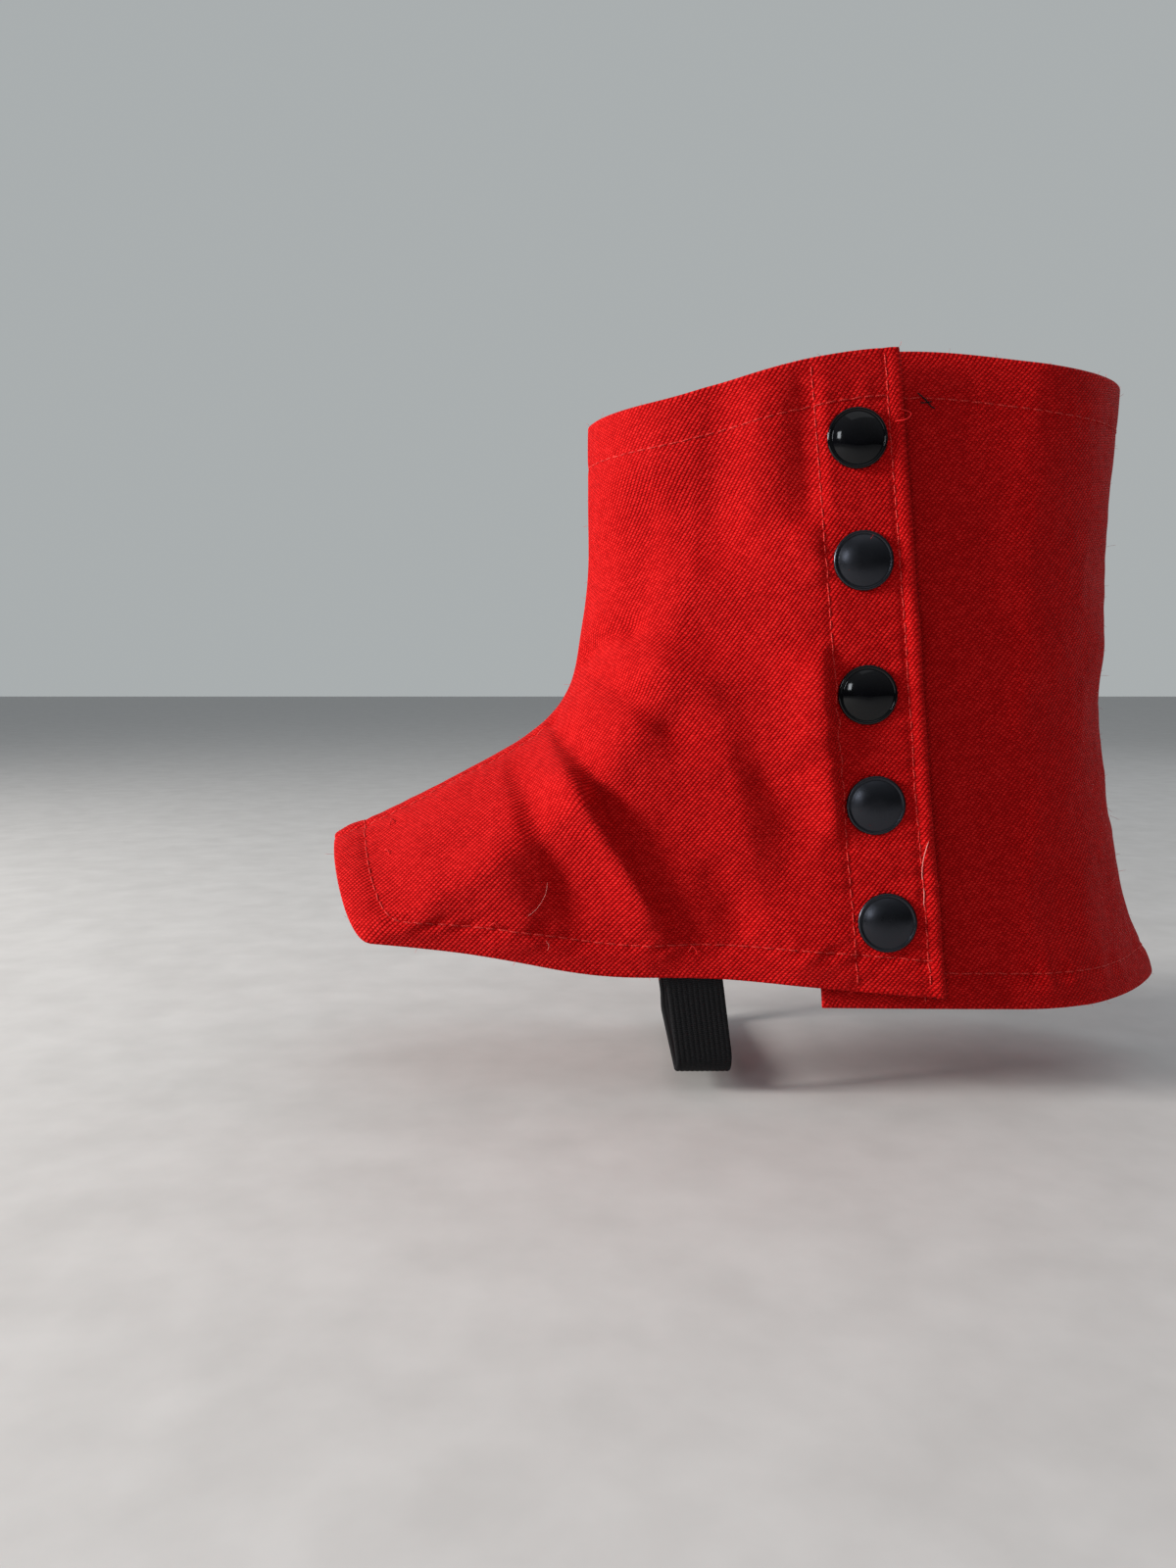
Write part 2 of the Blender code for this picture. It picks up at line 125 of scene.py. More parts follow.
# %% Room
BACKDROP_GREY, SKY_TINT = (0.4, 0.425, 0.43, 1), (0.9, 0.96, 1.0, 1)
GLOW_LEAST, GLOW_BEHIND, GLOW_ABOVE = 0.03, 0.3, 0.36


def add(tree, kind, links=(), **settings):
    """A new node: `settings` are its properties, and `links` its inputs, each a socket or a value."""
    node = tree.nodes.new(kind)
    for key, value in settings.items():
        setattr(node, key, value)
    for key, value in dict(links).items():
        if isinstance(value, bpy.types.NodeSocket):
            tree.links.new(value, node.inputs[key])
        else:
            node.inputs[key].default_value = value
    return node


def maths(tree, operation, a, b=0.0, c=0.0):
    """The output of a Math node with up to three inputs."""
    return add(tree, "ShaderNodeMath", {0: a, 1: b, 2: c}, operation=operation).outputs[0]


def pale_room():
    """Light that grows from a least value towards the back and the top; the camera sees a plain backdrop."""
    world = bpy.data.worlds.new("pale_room")
    world.use_nodes = True
    tree = world.node_tree
    backdrop = tree.nodes["Background"]
    backdrop.inputs["Color"].default_value = BACKDROP_GREY
    way = add(tree, "ShaderNodeTexCoord").outputs["Generated"]
    way = add(tree, "ShaderNodeSeparateXYZ", {0: way}).outputs
    behind = add(tree, "ShaderNodeMapRange", {"Value": way["Y"], "To Max": GLOW_BEHIND}).outputs[0]
    above = add(tree, "ShaderNodeMapRange", {"Value": way["Z"], "To Max": GLOW_ABOVE}).outputs[0]
    strength = maths(tree, "ADD", above, maths(tree, "ADD", behind, GLOW_LEAST))
    glow = add(tree, "ShaderNodeBackground", {"Color": SKY_TINT, "Strength": strength}).outputs[0]
    seen = add(tree, "ShaderNodeLightPath").outputs["Is Camera Ray"]
    either = add(tree, "ShaderNodeMixShader", {0: seen, 1: glow, 2: backdrop.outputs[0]}).outputs[0]
    tree.links.new(either, tree.nodes["World Output"].inputs["Surface"])
    return world


bpy.context.scene.world = pale_room()
print("light of the room, least to most:", GLOW_LEAST, GLOW_LEAST + GLOW_BEHIND + GLOW_ABOVE)

# %% [markdown]
# ## The form of the leg
# The cloth of a spat is nearly one smooth surface. Each row of this table is a line round the leg, from the
# seam at the centre of the front to the seam at the centre of the back, and the surface runs through all of
# them. The same numbers made the solids, so what is drawn here lies where they are. Each line is widest in
# its middle stretch and rounds off to a nose at the front and to a heel at the back, and the points say how
# sharp the two ends are.

# %% Girth lines
HEIGHT = 160.0  # length of the cloth from rim to hem
COLUMNS = (
    "front_x", "front_z", "side_z", "back_x", "back_z", "crown", "front_w", "back_w",
    "nose", "heel", "front_point", "back_point",
)
SECTIONS = np.array([
    (-72.0, 68.0, 67.5, 71.8, 76.5, 7.3, 33.0, 33.0, 29.0, 34.0, 0.35, 0.35),
    (-72.0, 48.0, 49.5, 71.0, 56.0, 5.5, 33.0, 33.0, 28.0, 34.0, 0.35, 0.35),
    (-72.0, 29.0, 31.0, 70.4, 35.0, 4.0, 33.0, 33.0, 27.0, 34.0, 0.35, 0.35),
    (-74.0, 12.0, 12.5, 70.4, 13.5, 2.5, 33.5, 33.5, 26.0, 34.0, 0.40, 0.35),
    (-77.5, -3.5, -6.0, 70.2, -8.0, 1.0, 34.0, 34.0, 25.0, 34.0, 0.45, 0.35),
    (-87.0, -15.2, -22.0, 72.2, -27.5, -1.0, 34.5, 34.0, 24.0, 35.0, 0.50, 0.40),
    (-104.0, -25.3, -38.0, 75.8, -45.0, -2.0, 35.2, 35.0, 24.0, 38.0, 0.50, 0.50),
    (-123.0, -35.2, -52.5, 79.4, -61.5, -2.0, 36.2, 36.8, 20.0, 43.0, 0.45, 0.65),
    (-143.0, -44.4, -66.0, 89.0, -84.0, -1.0, 37.2, 39.0, 16.0, 52.0, 0.35, 0.85),
])  # fmt: skip
print("girth lines:", len(SECTIONS), "of", len(COLUMNS), "values")

# %% [markdown]
# ## The surface through the lines
# A smooth curve through nine rows gives a girth line at every height. With the share of the way from the
# front seam to the back seam, that makes the form a function of two numbers, and any piece can be cut out.


# %% Form
def smooth(t):
    """3t² - 2t³, held at 0 below 0 and at 1 above 1."""
    t = np.clip(t, 0.0, 1.0)
    return t * t * (3 - 2 * t)


def through(rows, at):
    """Values at row numbers `at`, on the Catmull-Rom curve through evenly spaced rows.

    Between rows a and b it is half of 2a + (b-before)t + (2before-5a+4b-after)t² + (3a-before-3b+after)t³.
    """
    i = np.minimum(np.clip(at, 0, len(rows) - 1).astype(int), len(rows) - 2)
    t = (at - i).reshape(np.shape(at) + (1,) * (rows.ndim - 1))
    before, a, b, after = (rows[np.clip(i + k, 0, len(rows) - 1)] for k in (-1, 0, 1, 2))
    curve = 2 * a + (b - before) * t + (2 * before - 5 * a + 4 * b - after) * t**2
    return (curve + (3 * a - before - 3 * b + after) * t**3) / 2


def section_at(v):
    """The columns of SECTIONS at height share v, 0 at the rim and 1 at the hem."""
    values = through(SECTIONS, np.clip(np.asarray(v, float), 0, 1) * (len(SECTIONS) - 1))
    return dict(zip(COLUMNS, np.moveaxis(values, -1, 0)))


def rounding(t, point):
    """Share of the half width at share t of a nose's depth: an ellipse, drawn to a parabola by `point`."""
    rest = 1 - np.clip(t, 0.0, 1.0)
    return (1 - point) * np.sqrt(np.maximum(1 - rest**2, 0)) + point * (1 - rest**2)


def form(v, c):
    """The outer side of the leg at height share v and chord share c, 0 at the front seam and 1 at the back.

    x runs along the chord, y is the half width times a rounding at each end, and z follows the side line,
    lifted by its crown and drawn to the front seam's height where the nose rounds.
    """
    v, c = np.broadcast_arrays(v, c)
    s = section_at(v)
    long = s["back_x"] - s["front_x"]
    front = rounding(c * long / s["nose"], s["front_point"])
    back = rounding((1 - c) * long / s["heel"], s["back_point"])
    side = s["side_z"] + (s["back_z"] - s["side_z"]) * c + s["crown"] * np.sin(np.pi * c) ** 2.5
    width = s["front_w"] + (s["back_w"] - s["front_w"]) * c
    up = side + (s["front_z"] - s["side_z"]) * (1 - front**2)
    return np.stack([s["front_x"] + long * c, -width * front * back, up], axis=-1)


print("middle of the outer side, mm:", form(0.5, 0.5).round(1))

# %% [markdown]
# ## Cutting the panels
# Three panels make the spat: an outer front piece that ends in the edge with the snaps, an outer back piece
# that runs on under it, and one piece for the whole inner side. Each is a stretch of the form, laid out as a
# grid whose columns are evenly spaced along the cloth. A few close rows follow each edge, so that it can be
# round.

# %% Panel grids
EDGE_TOP_X, EDGE_HEM_X, EDGE_BOW = 3.4, 17.4, 1.0  # the free edge of the outer front piece
UNDERLAP = 30.0  # how far the back piece runs under it
EDGE_STEPS = np.array([0.0, 0.1, 0.35, 0.75, 1.3])  # distances of the close rows from an edge
FIRST_STEP = 2.1  # where the even rows begin
PANEL_ROWS = 152
PANEL_COLUMNS = {"outer_front": 146, "outer_back": 112, "inner_panel": 196}
FINE_STEPS = 481  # close points along a girth line, to measure it by


def edge_x(v):
    """Where the outer front piece's free edge crosses height share v: a straight line with a slight bow."""
    return EDGE_TOP_X + (EDGE_HEM_X - EDGE_TOP_X) * v + EDGE_BOW * 4 * v * (1 - v)


def chord_share(v, x):
    """Chord share at which the girth line of height share v reaches x."""
    s = section_at(v)
    return (x - s["front_x"]) / (s["back_x"] - s["front_x"])


def spacing(length, count):
    """Distances from 0 to length: close at both ends, even between them."""
    even = np.linspace(FIRST_STEP, length - FIRST_STEP, count)
    return np.concatenate([EDGE_STEPS, even, length - EDGE_STEPS[::-1]])


def run(points, axis):
    """Length along a grid from its first row (axis 0) or first column (axis 1)."""
    steps = np.linalg.norm(np.diff(points, axis=axis), axis=-1)
    start = np.zeros_like(np.take(steps, [0], axis))
    return np.concatenate([start, np.cumsum(steps, axis=axis)], axis=axis)


def unit(vectors):
    """The same vectors at length 1."""
    return vectors / np.maximum(np.linalg.norm(vectors, axis=-1, keepdims=True), 1e-9)


def normals(points):
    """Outward unit normals of a grid: down the rows crossed with along the columns."""
    return unit(np.cross(np.gradient(points, axis=0), np.gradient(points, axis=1)))


def lay_out(start, end, columns):
    """Height shares and chord shares of a panel between two chord-share functions of v."""
    v = spacing(HEIGHT, PANEL_ROWS) / HEIGHT
    turn = (1 - np.cos(np.linspace(0, np.pi, FINE_STEPS))) / 2
    fine = start(v)[:, None] + (end(v) - start(v))[:, None] * turn
    along = run(form(v[:, None], fine), 1)
    c = [np.interp(spacing(a[-1], columns), a, f) for a, f in zip(along, fine)]
    return v, np.array(c)


PANEL_ENDS = {  # chord shares at which each panel starts and ends
    "outer_front": (lambda v: 0 * v, lambda v: chord_share(v, edge_x(v))),
    "outer_back": (lambda v: chord_share(v, edge_x(v) - UNDERLAP), lambda v: 0 * v + 1),
    "inner_panel": (lambda v: 0 * v, lambda v: 0 * v + 1),
}
GRIDS = {name: lay_out(*ends, PANEL_COLUMNS[name]) for name, ends in PANEL_ENDS.items()}
for name, (v, c) in GRIDS.items():
    print(name, "grid", c.shape)

# %% [markdown]
# ## Folds
# Cloth that turns from the leg to the instep has too much length, and it stands up in folds. Each one is
# listed as a line in side view, with a soft ridge or trough across it. Its two flanks have their own
# widths, so that it can be steep on one side, and it can widen from its start to its end.

# %% Folds
# from x, z to x, z; width of the front and the back flank; height; how much wider its end is than its start
OUTER_FOLDS = {
    "tongue dip": (-130.0, -40.0, -117.0, -62.0, 5.0, 7.0, -1.1, 0.0),
    "vamp swell": (-98.0, -38.0, -84.5, -68.0, 11.0, 5.0, 1.7, 0.0),
    "tongue trough": (-92.0, -20.0, -72.5, -66.0, 3.2, 4.8, -1.9, 0.3),
    "tongue crease": (-94.0, -22.0, -84.0, -46.0, 2.0, 3.0, -1.0, 0.4),
    "instep ridge": (-80.5, -19.0, -50.0, -70.0, 6.2, 3.4, 4.1, 0.2),
    "instep trough": (-78.5, -13.0, -45.5, -66.0, 2.8, 6.0, -1.4, 0.4),
    "instep crease": (-85.0, -9.0, -63.0, -38.0, 2.2, 4.2, -2.1, 0.3),
    "instep rise": (-39.0, -12.0, -30.0, -58.0, 14.0, 7.0, 2.2, 0.0),
    "ankle ridge": (-75.0, 14.0, -34.0, -8.0, 4.5, 5.0, 1.2, 0.3),
    "ankle hollow": (-77.0, 5.0, -44.0, -17.0, 3.6, 6.0, -2.3, 0.3),
    "ankle notch": (-78.0, 4.0, -61.0, 15.0, 3.4, 3.8, -2.4, 0.2),
    "waist hollow": (-43.0, -46.0, -31.0, -66.0, 4.5, 6.0, -1.3, 0.2),
    "shin flat": (-59.0, 54.0, -61.0, 0.0, 8.0, 30.0, -5.6, 0.0),
    "shin hollow": (-40.0, 82.0, -42.0, 22.0, 20.0, 12.0, -4.2, 0.0),
    "placket hollow": (-36.0, -11.0, -15.5, -44.0, 5.5, 6.5, -1.5, 0.2),
    "placket rise": (-15.5, 8.0, -12.5, -22.0, 7.5, 4.0, 3.9, 0.0),
    "placket ridge": (-12.5, -18.0, -9.0, -42.0, 5.5, 4.0, 2.8, 0.0),
    "cuff ridge": (-32.0, 78.0, -30.0, 32.0, 6.0, 11.0, 1.3, 0.0),
    "cuff hollow": (-16.0, 78.0, -16.0, 34.0, 9.0, 7.0, -2.4, 0.2),
    "cuff bump": (-20.0, 38.0, -13.0, 22.0, 5.0, 5.0, 1.2, 0.0),
    "hem swell": (-36.0, -58.0, -12.0, -74.0, 7.0, 7.0, 0.9, 0.2),
}
BACK_FOLDS = {
    "heel hollow": (45.0, 84.0, 47.0, -84.0, 20.0, 22.0, -2.3, 0.0),
    "hem wave": (56.0, -40.0, 60.0, -88.0, 6.0, 7.0, 0.8, 0.2),
}
INNER_FOLDS = {
    "tongue trough": (-90.0, -26.0, -74.0, -56.0, 4.4, 5.0, -2.0, 0.4),
    "instep ridge": (-82.0, -16.0, -50.0, -62.0, 4.6, 4.2, 1.8, 0.3),
    "instep trough": (-75.0, -14.0, -42.0, -58.0, 4.4, 6.6, -2.0, 0.5),
    "ankle ridge": (-72.0, 13.0, -46.0, 4.0, 3.6, 4.2, 0.9, 0.2),
    "ankle hollow": (-66.0, 2.0, -30.0, -14.0, 7.0, 8.0, -1.4, 0.3),
    "calf ridge": (-30.0, 40.0, -6.0, 2.0, 7.0, 8.0, 0.8, 0.3),
    "heel trough": (30.0, -8.0, 46.0, -48.0, 7.0, 8.0, -1.6, 0.2),
    "heel ridge": (42.0, 2.0, 58.0, -44.0, 6.0, 6.0, 0.9, 0.2),
    "cuff hollow": (14.0, 66.0, 8.0, 30.0, 7.0, 7.0, -1.5, 0.0),
}
FOLD_STARTS = 7.0  # distance from a seam over which a fold grows to its full height
FOLD_ENDS = 0.3  # share of its line over which a fold fades at each end
FOLD_OVERRUN = 0.15  # how much of that lies past the line's ends


def fold_height(points, folds):
    """How far points move out: each fold adds height · exp(-(distance/width)²), faded at both its ends."""
    total = np.zeros(points.shape[:2])
    for x0, z0, x1, z1, front, back, height, widen in folds.values():
        line = np.array([x1 - x0, z1 - z0])
        away = points[..., [0, 2]] - (x0, z0)
        share = (away @ line) / (line @ line)
        beside = (away[..., 0] * line[1] - away[..., 1] * line[0]) / np.linalg.norm(line)
        width = np.where(beside > 0, front, back) * (1 + widen * (np.clip(share, 0, 1) - 0.5))
        ends = smooth(share / FOLD_ENDS + FOLD_OVERRUN) * smooth((1 - share) / FOLD_ENDS + FOLD_OVERRUN)
        total += height * np.exp(-((beside / width) ** 2)) * ends
    return total


print("folds:", [len(folds) for folds in (OUTER_FOLDS, BACK_FOLDS, INNER_FOLDS)])

# %% [markdown]
# ## Hanging the panels
# The outer front piece lifts away from the leg towards its free edge, because the back piece and the snaps'
# halves are under it. Every hem drops a little below the form's last line, over the waist of the shoe and
# most of all at the underlap's corner.

# %% Panel shapes
PLACKET = 22.0  # width of the folded placket along the free edge
RAMP = 40.0  # stretch over which the outer front piece lifts to lie over the back piece
LAP_GAP, DOUBLE, WALL = 2.8, 1.6, 1.0  # gap between the lapped panels, two layers of cloth, and one
STANDOFF = LAP_GAP + DOUBLE
HEM_DROPS = {"outer_front": (0.0, 1.6), "outer_back": (7.0, 0.0), "inner_panel": (0.0, 0.5)}
WAIST_X, WAIST_HALF, WAIST_DIP = -70.0, 23.0, 2.6
DROP_STARTS = 0.8  # height share from which on a hem drops


def hang(name, points, v):
    """Lowers a hem: z falls by the drop times ((v - start) / (1 - start))², plus a bell over the waist."""
    front, back = HEM_DROPS[name]
    share = run(points, 1)
    share = share / share[:, -1:]
    waist = WAIST_DIP * np.exp(-(((points[..., 0] - WAIST_X) / WAIST_HALF) ** 2))
    low = np.clip((v[:, None] - DROP_STARTS) / (1 - DROP_STARTS), 0, 1) ** 2
    lowered = points.copy()
    lowered[..., 2] -= (front + (back - front) * share + waist) * low
    return lowered


def drape(name):
    """A panel's outer face: the form, moved out along its normals by the folds and the lap, then hung."""
    v, c = GRIDS[name]
    points = form(v[:, None], c)
    along = run(points, 1)
    if name == "outer_front":
        before_placket = (edge_x(v) - PLACKET)[:, None] - points[..., 0]
        lift = fold_height(points, OUTER_FOLDS) * smooth(along / FOLD_STARTS)
        lift *= smooth(before_placket / FOLD_STARTS + 0.5)
        lift += STANDOFF * smooth(1 - before_placket / RAMP)
    else:
        lift = fold_height(points, BACK_FOLDS if name == "outer_back" else INNER_FOLDS)
        lift *= smooth(along / FOLD_STARTS) * smooth((along[:, -1:] - along) / FOLD_STARTS)
    return hang(name, points + normals(points) * lift[..., None], v)


DRAPED = {name: drape(name) for name in GRIDS}
for name, points in DRAPED.items():
    print(name, "spans, mm:", np.round(np.ptp(points.reshape(-1, 3), axis=0), 1))

# %% [markdown]
# ## Laying the cloth flat
# The weave has to run straight in the flat cloth and bend only with the panel. So each panel is laid flat: a
# coarse copy of its grid becomes a net of springs that keep their lengths, and the net relaxes in a plane.
# Its places are the panel's UV map, in millimetres of cloth, and its outline is the shape that was cut.

# %% Flat patterns
NET = 26  # rows and columns of the spring net
NET_ROUNDS = 3000
NET_PULL = 0.11
NET_START = 0.8  # share of a point's height over the back edge, as worn, that it starts with in the plane
UPRIGHT = -1  # the column that ends up upright: the panel's back edge


def between(rows, at):
    """Rows at fractional row numbers, on straight lines between them."""
    i = np.clip(np.floor(at).astype(int), 0, len(rows) - 2)
    t = (at - i).reshape(-1, *[1] * (rows.ndim - 1))
    return rows[i] * (1 - t) + rows[i + 1] * t


def lay_flat(points):
    """Flat places for a grid of points, with its last column upright: springs at their own lengths.

    Each round moves both ends of every spring by a share of its error, all springs at once.
    """
    down, along = run(points, 0), run(points, 1)
    share_r = (down / down[-1:]).mean(axis=1)
    share_c = (along / along[:, -1:]).mean(axis=0)
    even = np.linspace(0, 1, NET)
    pick_r = np.interp(even, share_r, np.arange(len(share_r)))
    pick_c = np.interp(even, share_c, np.arange(len(share_c)))
    net = between(between(points, pick_r).swapaxes(0, 1), pick_c).swapaxes(0, 1)
    along, down = run(net, 1), run(net, 0)
    flat = np.stack([along - along[:, [UPRIGHT]], -down[:, [UPRIGHT]] + 0 * along], axis=-1)
    flat[..., 1] += (net[..., 2] - net[:, [UPRIGHT], 2]) * NET_START
    whole, head, tail = slice(None), slice(None, -1), slice(1, None)
    springs = [((head, whole), (tail, whole)), ((whole, head), (whole, tail)),
               ((head, head), (tail, tail)), ((head, tail), (tail, head))]
    lengths = [np.linalg.norm(net[b] - net[a], axis=-1) for a, b in springs]
    for _ in range(NET_ROUNDS):
        push = np.zeros_like(flat)
        for (a, b), length in zip(springs, lengths):
            gap = flat[b] - flat[a]
            now = np.linalg.norm(gap, axis=-1)
            move = gap * ((now - length) / now)[..., None] * NET_PULL
            push[a] += move
            push[b] -= move
        flat += push
    edge = flat[0, UPRIGHT] - flat[-1, UPRIGHT]
    angle = math.atan2(edge[0], edge[1])
    turn = np.array([[math.cos(angle), math.sin(angle)], [-math.sin(angle), math.cos(angle)]])
    flat = through((flat - flat[0, UPRIGHT]) @ turn, share_r * (NET - 1))
    return through(flat.swapaxes(0, 1), share_c * (NET - 1)).swapaxes(0, 1)


def flat_area(flat):
    """Area of a grid of flat quads: half the cross product of each one's diagonals."""
    a, b = flat[1:, 1:] - flat[:-1, :-1], flat[1:, :-1] - flat[:-1, 1:]
    return np.abs(a[..., 0] * b[..., 1] - a[..., 1] * b[..., 0]).sum() / 2


FLAT = {name: lay_flat(points) for name, points in DRAPED.items()}
FLAT["inner_panel"][..., 0] *= -1  # seen from outside, this side runs the other way
CUT = {name: (np.ptp(f[..., 0]), np.ptp(f[..., 1]), flat_area(f)) for name, f in FLAT.items()}
for name, (wide, long, area) in CUT.items():
    kept = run(FLAT[name], 0)[-1] / run(DRAPED[name], 0)[-1]
    print(name, f"flat {wide:.0f} x {long:.0f} mm, {area / 100:.0f} cm2,", end=" ")
    print(f"lengths kept {kept.min():.2f} to {kept.max():.2f}")

# %% [markdown]
# ## Weave
# The cloth is a twill: each yarn floats over a few others, and the floats step sideways from row to row, so
# they line up in slanting ribs. The node group draws ribs and floats from the flat places, and puts out how
# high the yarn lies and a tone for each float. As a group, it can go into any other cloth too.


# %% Weave nodes
FLOAT_SLANT, FLOAT_STEP = 0.55, 0.12  # how far a float leans across its rib, and its step to the next rib
FLOAT_FULLNESS, FLOAT_LEAST = 0.8, 0.2  # power of its swell, and its height where two floats meet


def noise(tree, place, scale, detail):
    """The value of a noise texture at `place`."""
    return add(tree, "ShaderNodeTexNoise", {"Vector": place, "Scale": scale, "Detail": detail}).outputs[0]


def hump(tree, value):
    """sin(pi · fraction of the value): 0 at each whole number, 1 halfway between two."""
    return maths(tree, "SINE", maths(tree, "MULTIPLY", maths(tree, "FRACT", value), math.pi))


def new_group(name, inputs, outputs):
    """An empty node group with named float or vector sockets, and its input and output nodes."""
    tree = bpy.data.node_groups.new(name, "ShaderNodeTree")
    for label, value in inputs.items():
        kind = "NodeSocketVector" if value is None else "NodeSocketFloat"
        socket = tree.interface.new_socket(label, in_out="INPUT", socket_type=kind)
        if value is not None:
            socket.default_value = value
    for label in outputs:
        tree.interface.new_socket(label, in_out="OUTPUT", socket_type="NodeSocketFloat")
    return tree, add(tree, "NodeGroupInput").outputs, add(tree, "NodeGroupOutput").inputs


def twill_group():
    """Ribs: sin(pi · fraction of the distance across / pitch). Floats: the same along each rib."""
    values = {"Place": None, "Angle": 0.7, "Pitch": 0.8, "Float": 0.9, "Wander": 0.2}
    tree, given, out = new_group("twill_weave", values, ("Height", "Tone"))
    wander = noise(tree, given["Place"], scale=0.45, detail=3.0)
    turned = {"Vector": given["Place"], "Angle": given["Angle"]}
    turned = add(tree, "ShaderNodeVectorRotate", turned, rotation_type="Z_AXIS").outputs[0]
    parts = add(tree, "ShaderNodeSeparateXYZ", {0: turned}).outputs
    shift = maths(tree, "MULTIPLY", maths(tree, "SUBTRACT", wander, 0.5), given["Wander"])
    across = maths(tree, "DIVIDE", maths(tree, "ADD", parts["Y"], shift), given["Pitch"])
    rib_number = maths(tree, "FLOOR", across)
    skew = maths(tree, "MULTIPLY", maths(tree, "FRACT", across), FLOAT_SLANT)
    step = maths(tree, "MULTIPLY_ADD", rib_number, FLOAT_STEP, skew)
    along = maths(tree, "ADD", maths(tree, "DIVIDE", parts["X"], given["Float"]), step)
    soft_bead = maths(tree, "POWER", hump(tree, along), FLOAT_FULLNESS)
    bead = maths(tree, "MULTIPLY_ADD", soft_bead, 1 - FLOAT_LEAST, FLOAT_LEAST)
    height = maths(tree, "MULTIPLY", hump(tree, across), bead)
    cell = add(tree, "ShaderNodeCombineXYZ", {0: rib_number, 1: maths(tree, "FLOOR", along)})
    tone = add(tree, "ShaderNodeTexWhiteNoise", {"Vector": cell.outputs[0]}, noise_dimensions="2D")
    tree.links.new(height, out["Height"])
    tree.links.new(tone.outputs["Value"], out["Tone"])
    return tree


TWILL = twill_group()
print("weave group sockets:", [s.name for s in TWILL.interface.items_tree])

# %% [markdown]
# ## Helpers for finishes
# Every finish starts from the same shader. One helper makes the material, one turns a value into colours, one
# reads where a point lies on the flat cloth, and one tilts the surface by a height. With them, a finish is a
# few lines that say what it looks like.

# %% Finish helpers
UV_MM = 100.0  # millimetres of cloth to one unit of its UV map


def new_material(name, colour, roughness, metallic=0.0, **sockets):
    """A material with a Principled shader. `sockets` are further inputs, by name with _ for spaces."""
    material = bpy.data.materials.new(name)
    material.use_nodes = True
    shader = material.node_tree.nodes["Principled BSDF"]
    values = {"Base Color": (*colour, 1), "Roughness": roughness, "Metallic": metallic}
    values.update({key.replace("_", " "): value for key, value in sockets.items()})
    for key, value in values.items():
        shader.inputs[key].default_value = value
    return material, material.node_tree, shader


def ramp(tree, factor, *stops):
    """A colour ramp's output: stops are (position, colour) pairs."""
    node = add(tree, "ShaderNodeValToRGB", {0: factor})
    while len(node.color_ramp.elements) < len(stops):
        node.color_ramp.elements.new(0.5)
    for element, (position, colour) in zip(node.color_ramp.elements, stops):
        element.position, element.color = position, (*colour, 1)
    return node.outputs[0]


def cloth_place(tree):
    """The flat place on a piece of cloth, in millimetres."""
    place = add(tree, "ShaderNodeUVMap", uv_map="cloth").outputs[0]
    return add(tree, "ShaderNodeVectorMath", {0: place, "Scale": UV_MM}, operation="SCALE").outputs[0]


def raise_by(tree, shader, height, strength, distance):
    """Tilts the surface by a height: `distance` in metres, for a height of 1."""
    bump = add(tree, "ShaderNodeBump", {"Height": height, "Strength": strength, "Distance": distance})
    tree.links.new(bump.outputs[0], shader.inputs["Normal"])


def vary(tree, total, value, amount):
    """A total plus amount · (value - 0.5), for a noise value about one half."""
    return maths(tree, "MULTIPLY_ADD", maths(tree, "SUBTRACT", value, 0.5), amount, total)


print("millimetres to one unit of a UV map:", UV_MM)

# %% [markdown]
# ## Red twill
# The cloth is a strong red wool twill with a short nap. The yarn that lies on top is painted brighter and
# pinker than the gaps between ribs, as painted highlight on the floats and painted shade in the gaps, and no
# two floats are quite alike. Sheen stands for the nap, which catches skimming light.

# %% Red twill material
WEAVE_VALUES = {"Angle": math.radians(-48), "Pitch": 0.95, "Float": 0.85, "Wander": 0.3}
# The darkest stop is painted shade in the gaps between ribs, and the brightest, pinker stop is painted
# highlight on the floats; the middle stop is the yarn's own red.
GAP_SHADE_RED, YARN_RED, FLOAT_HIGHLIGHT_RED = (0.3, 0.0, 0.0005), (0.47, 0.0003, 0.001), (0.72, 0.015, 0.014)
SHEEN_RED = (1.0, 0.18, 0.15, 1)
BY_HEIGHT_SHADE, BY_TONE, BY_CLOUD, BY_FIBRE = 0.72, 0.3, 0.25, 0.4  # shares of each in the yarn's brightness


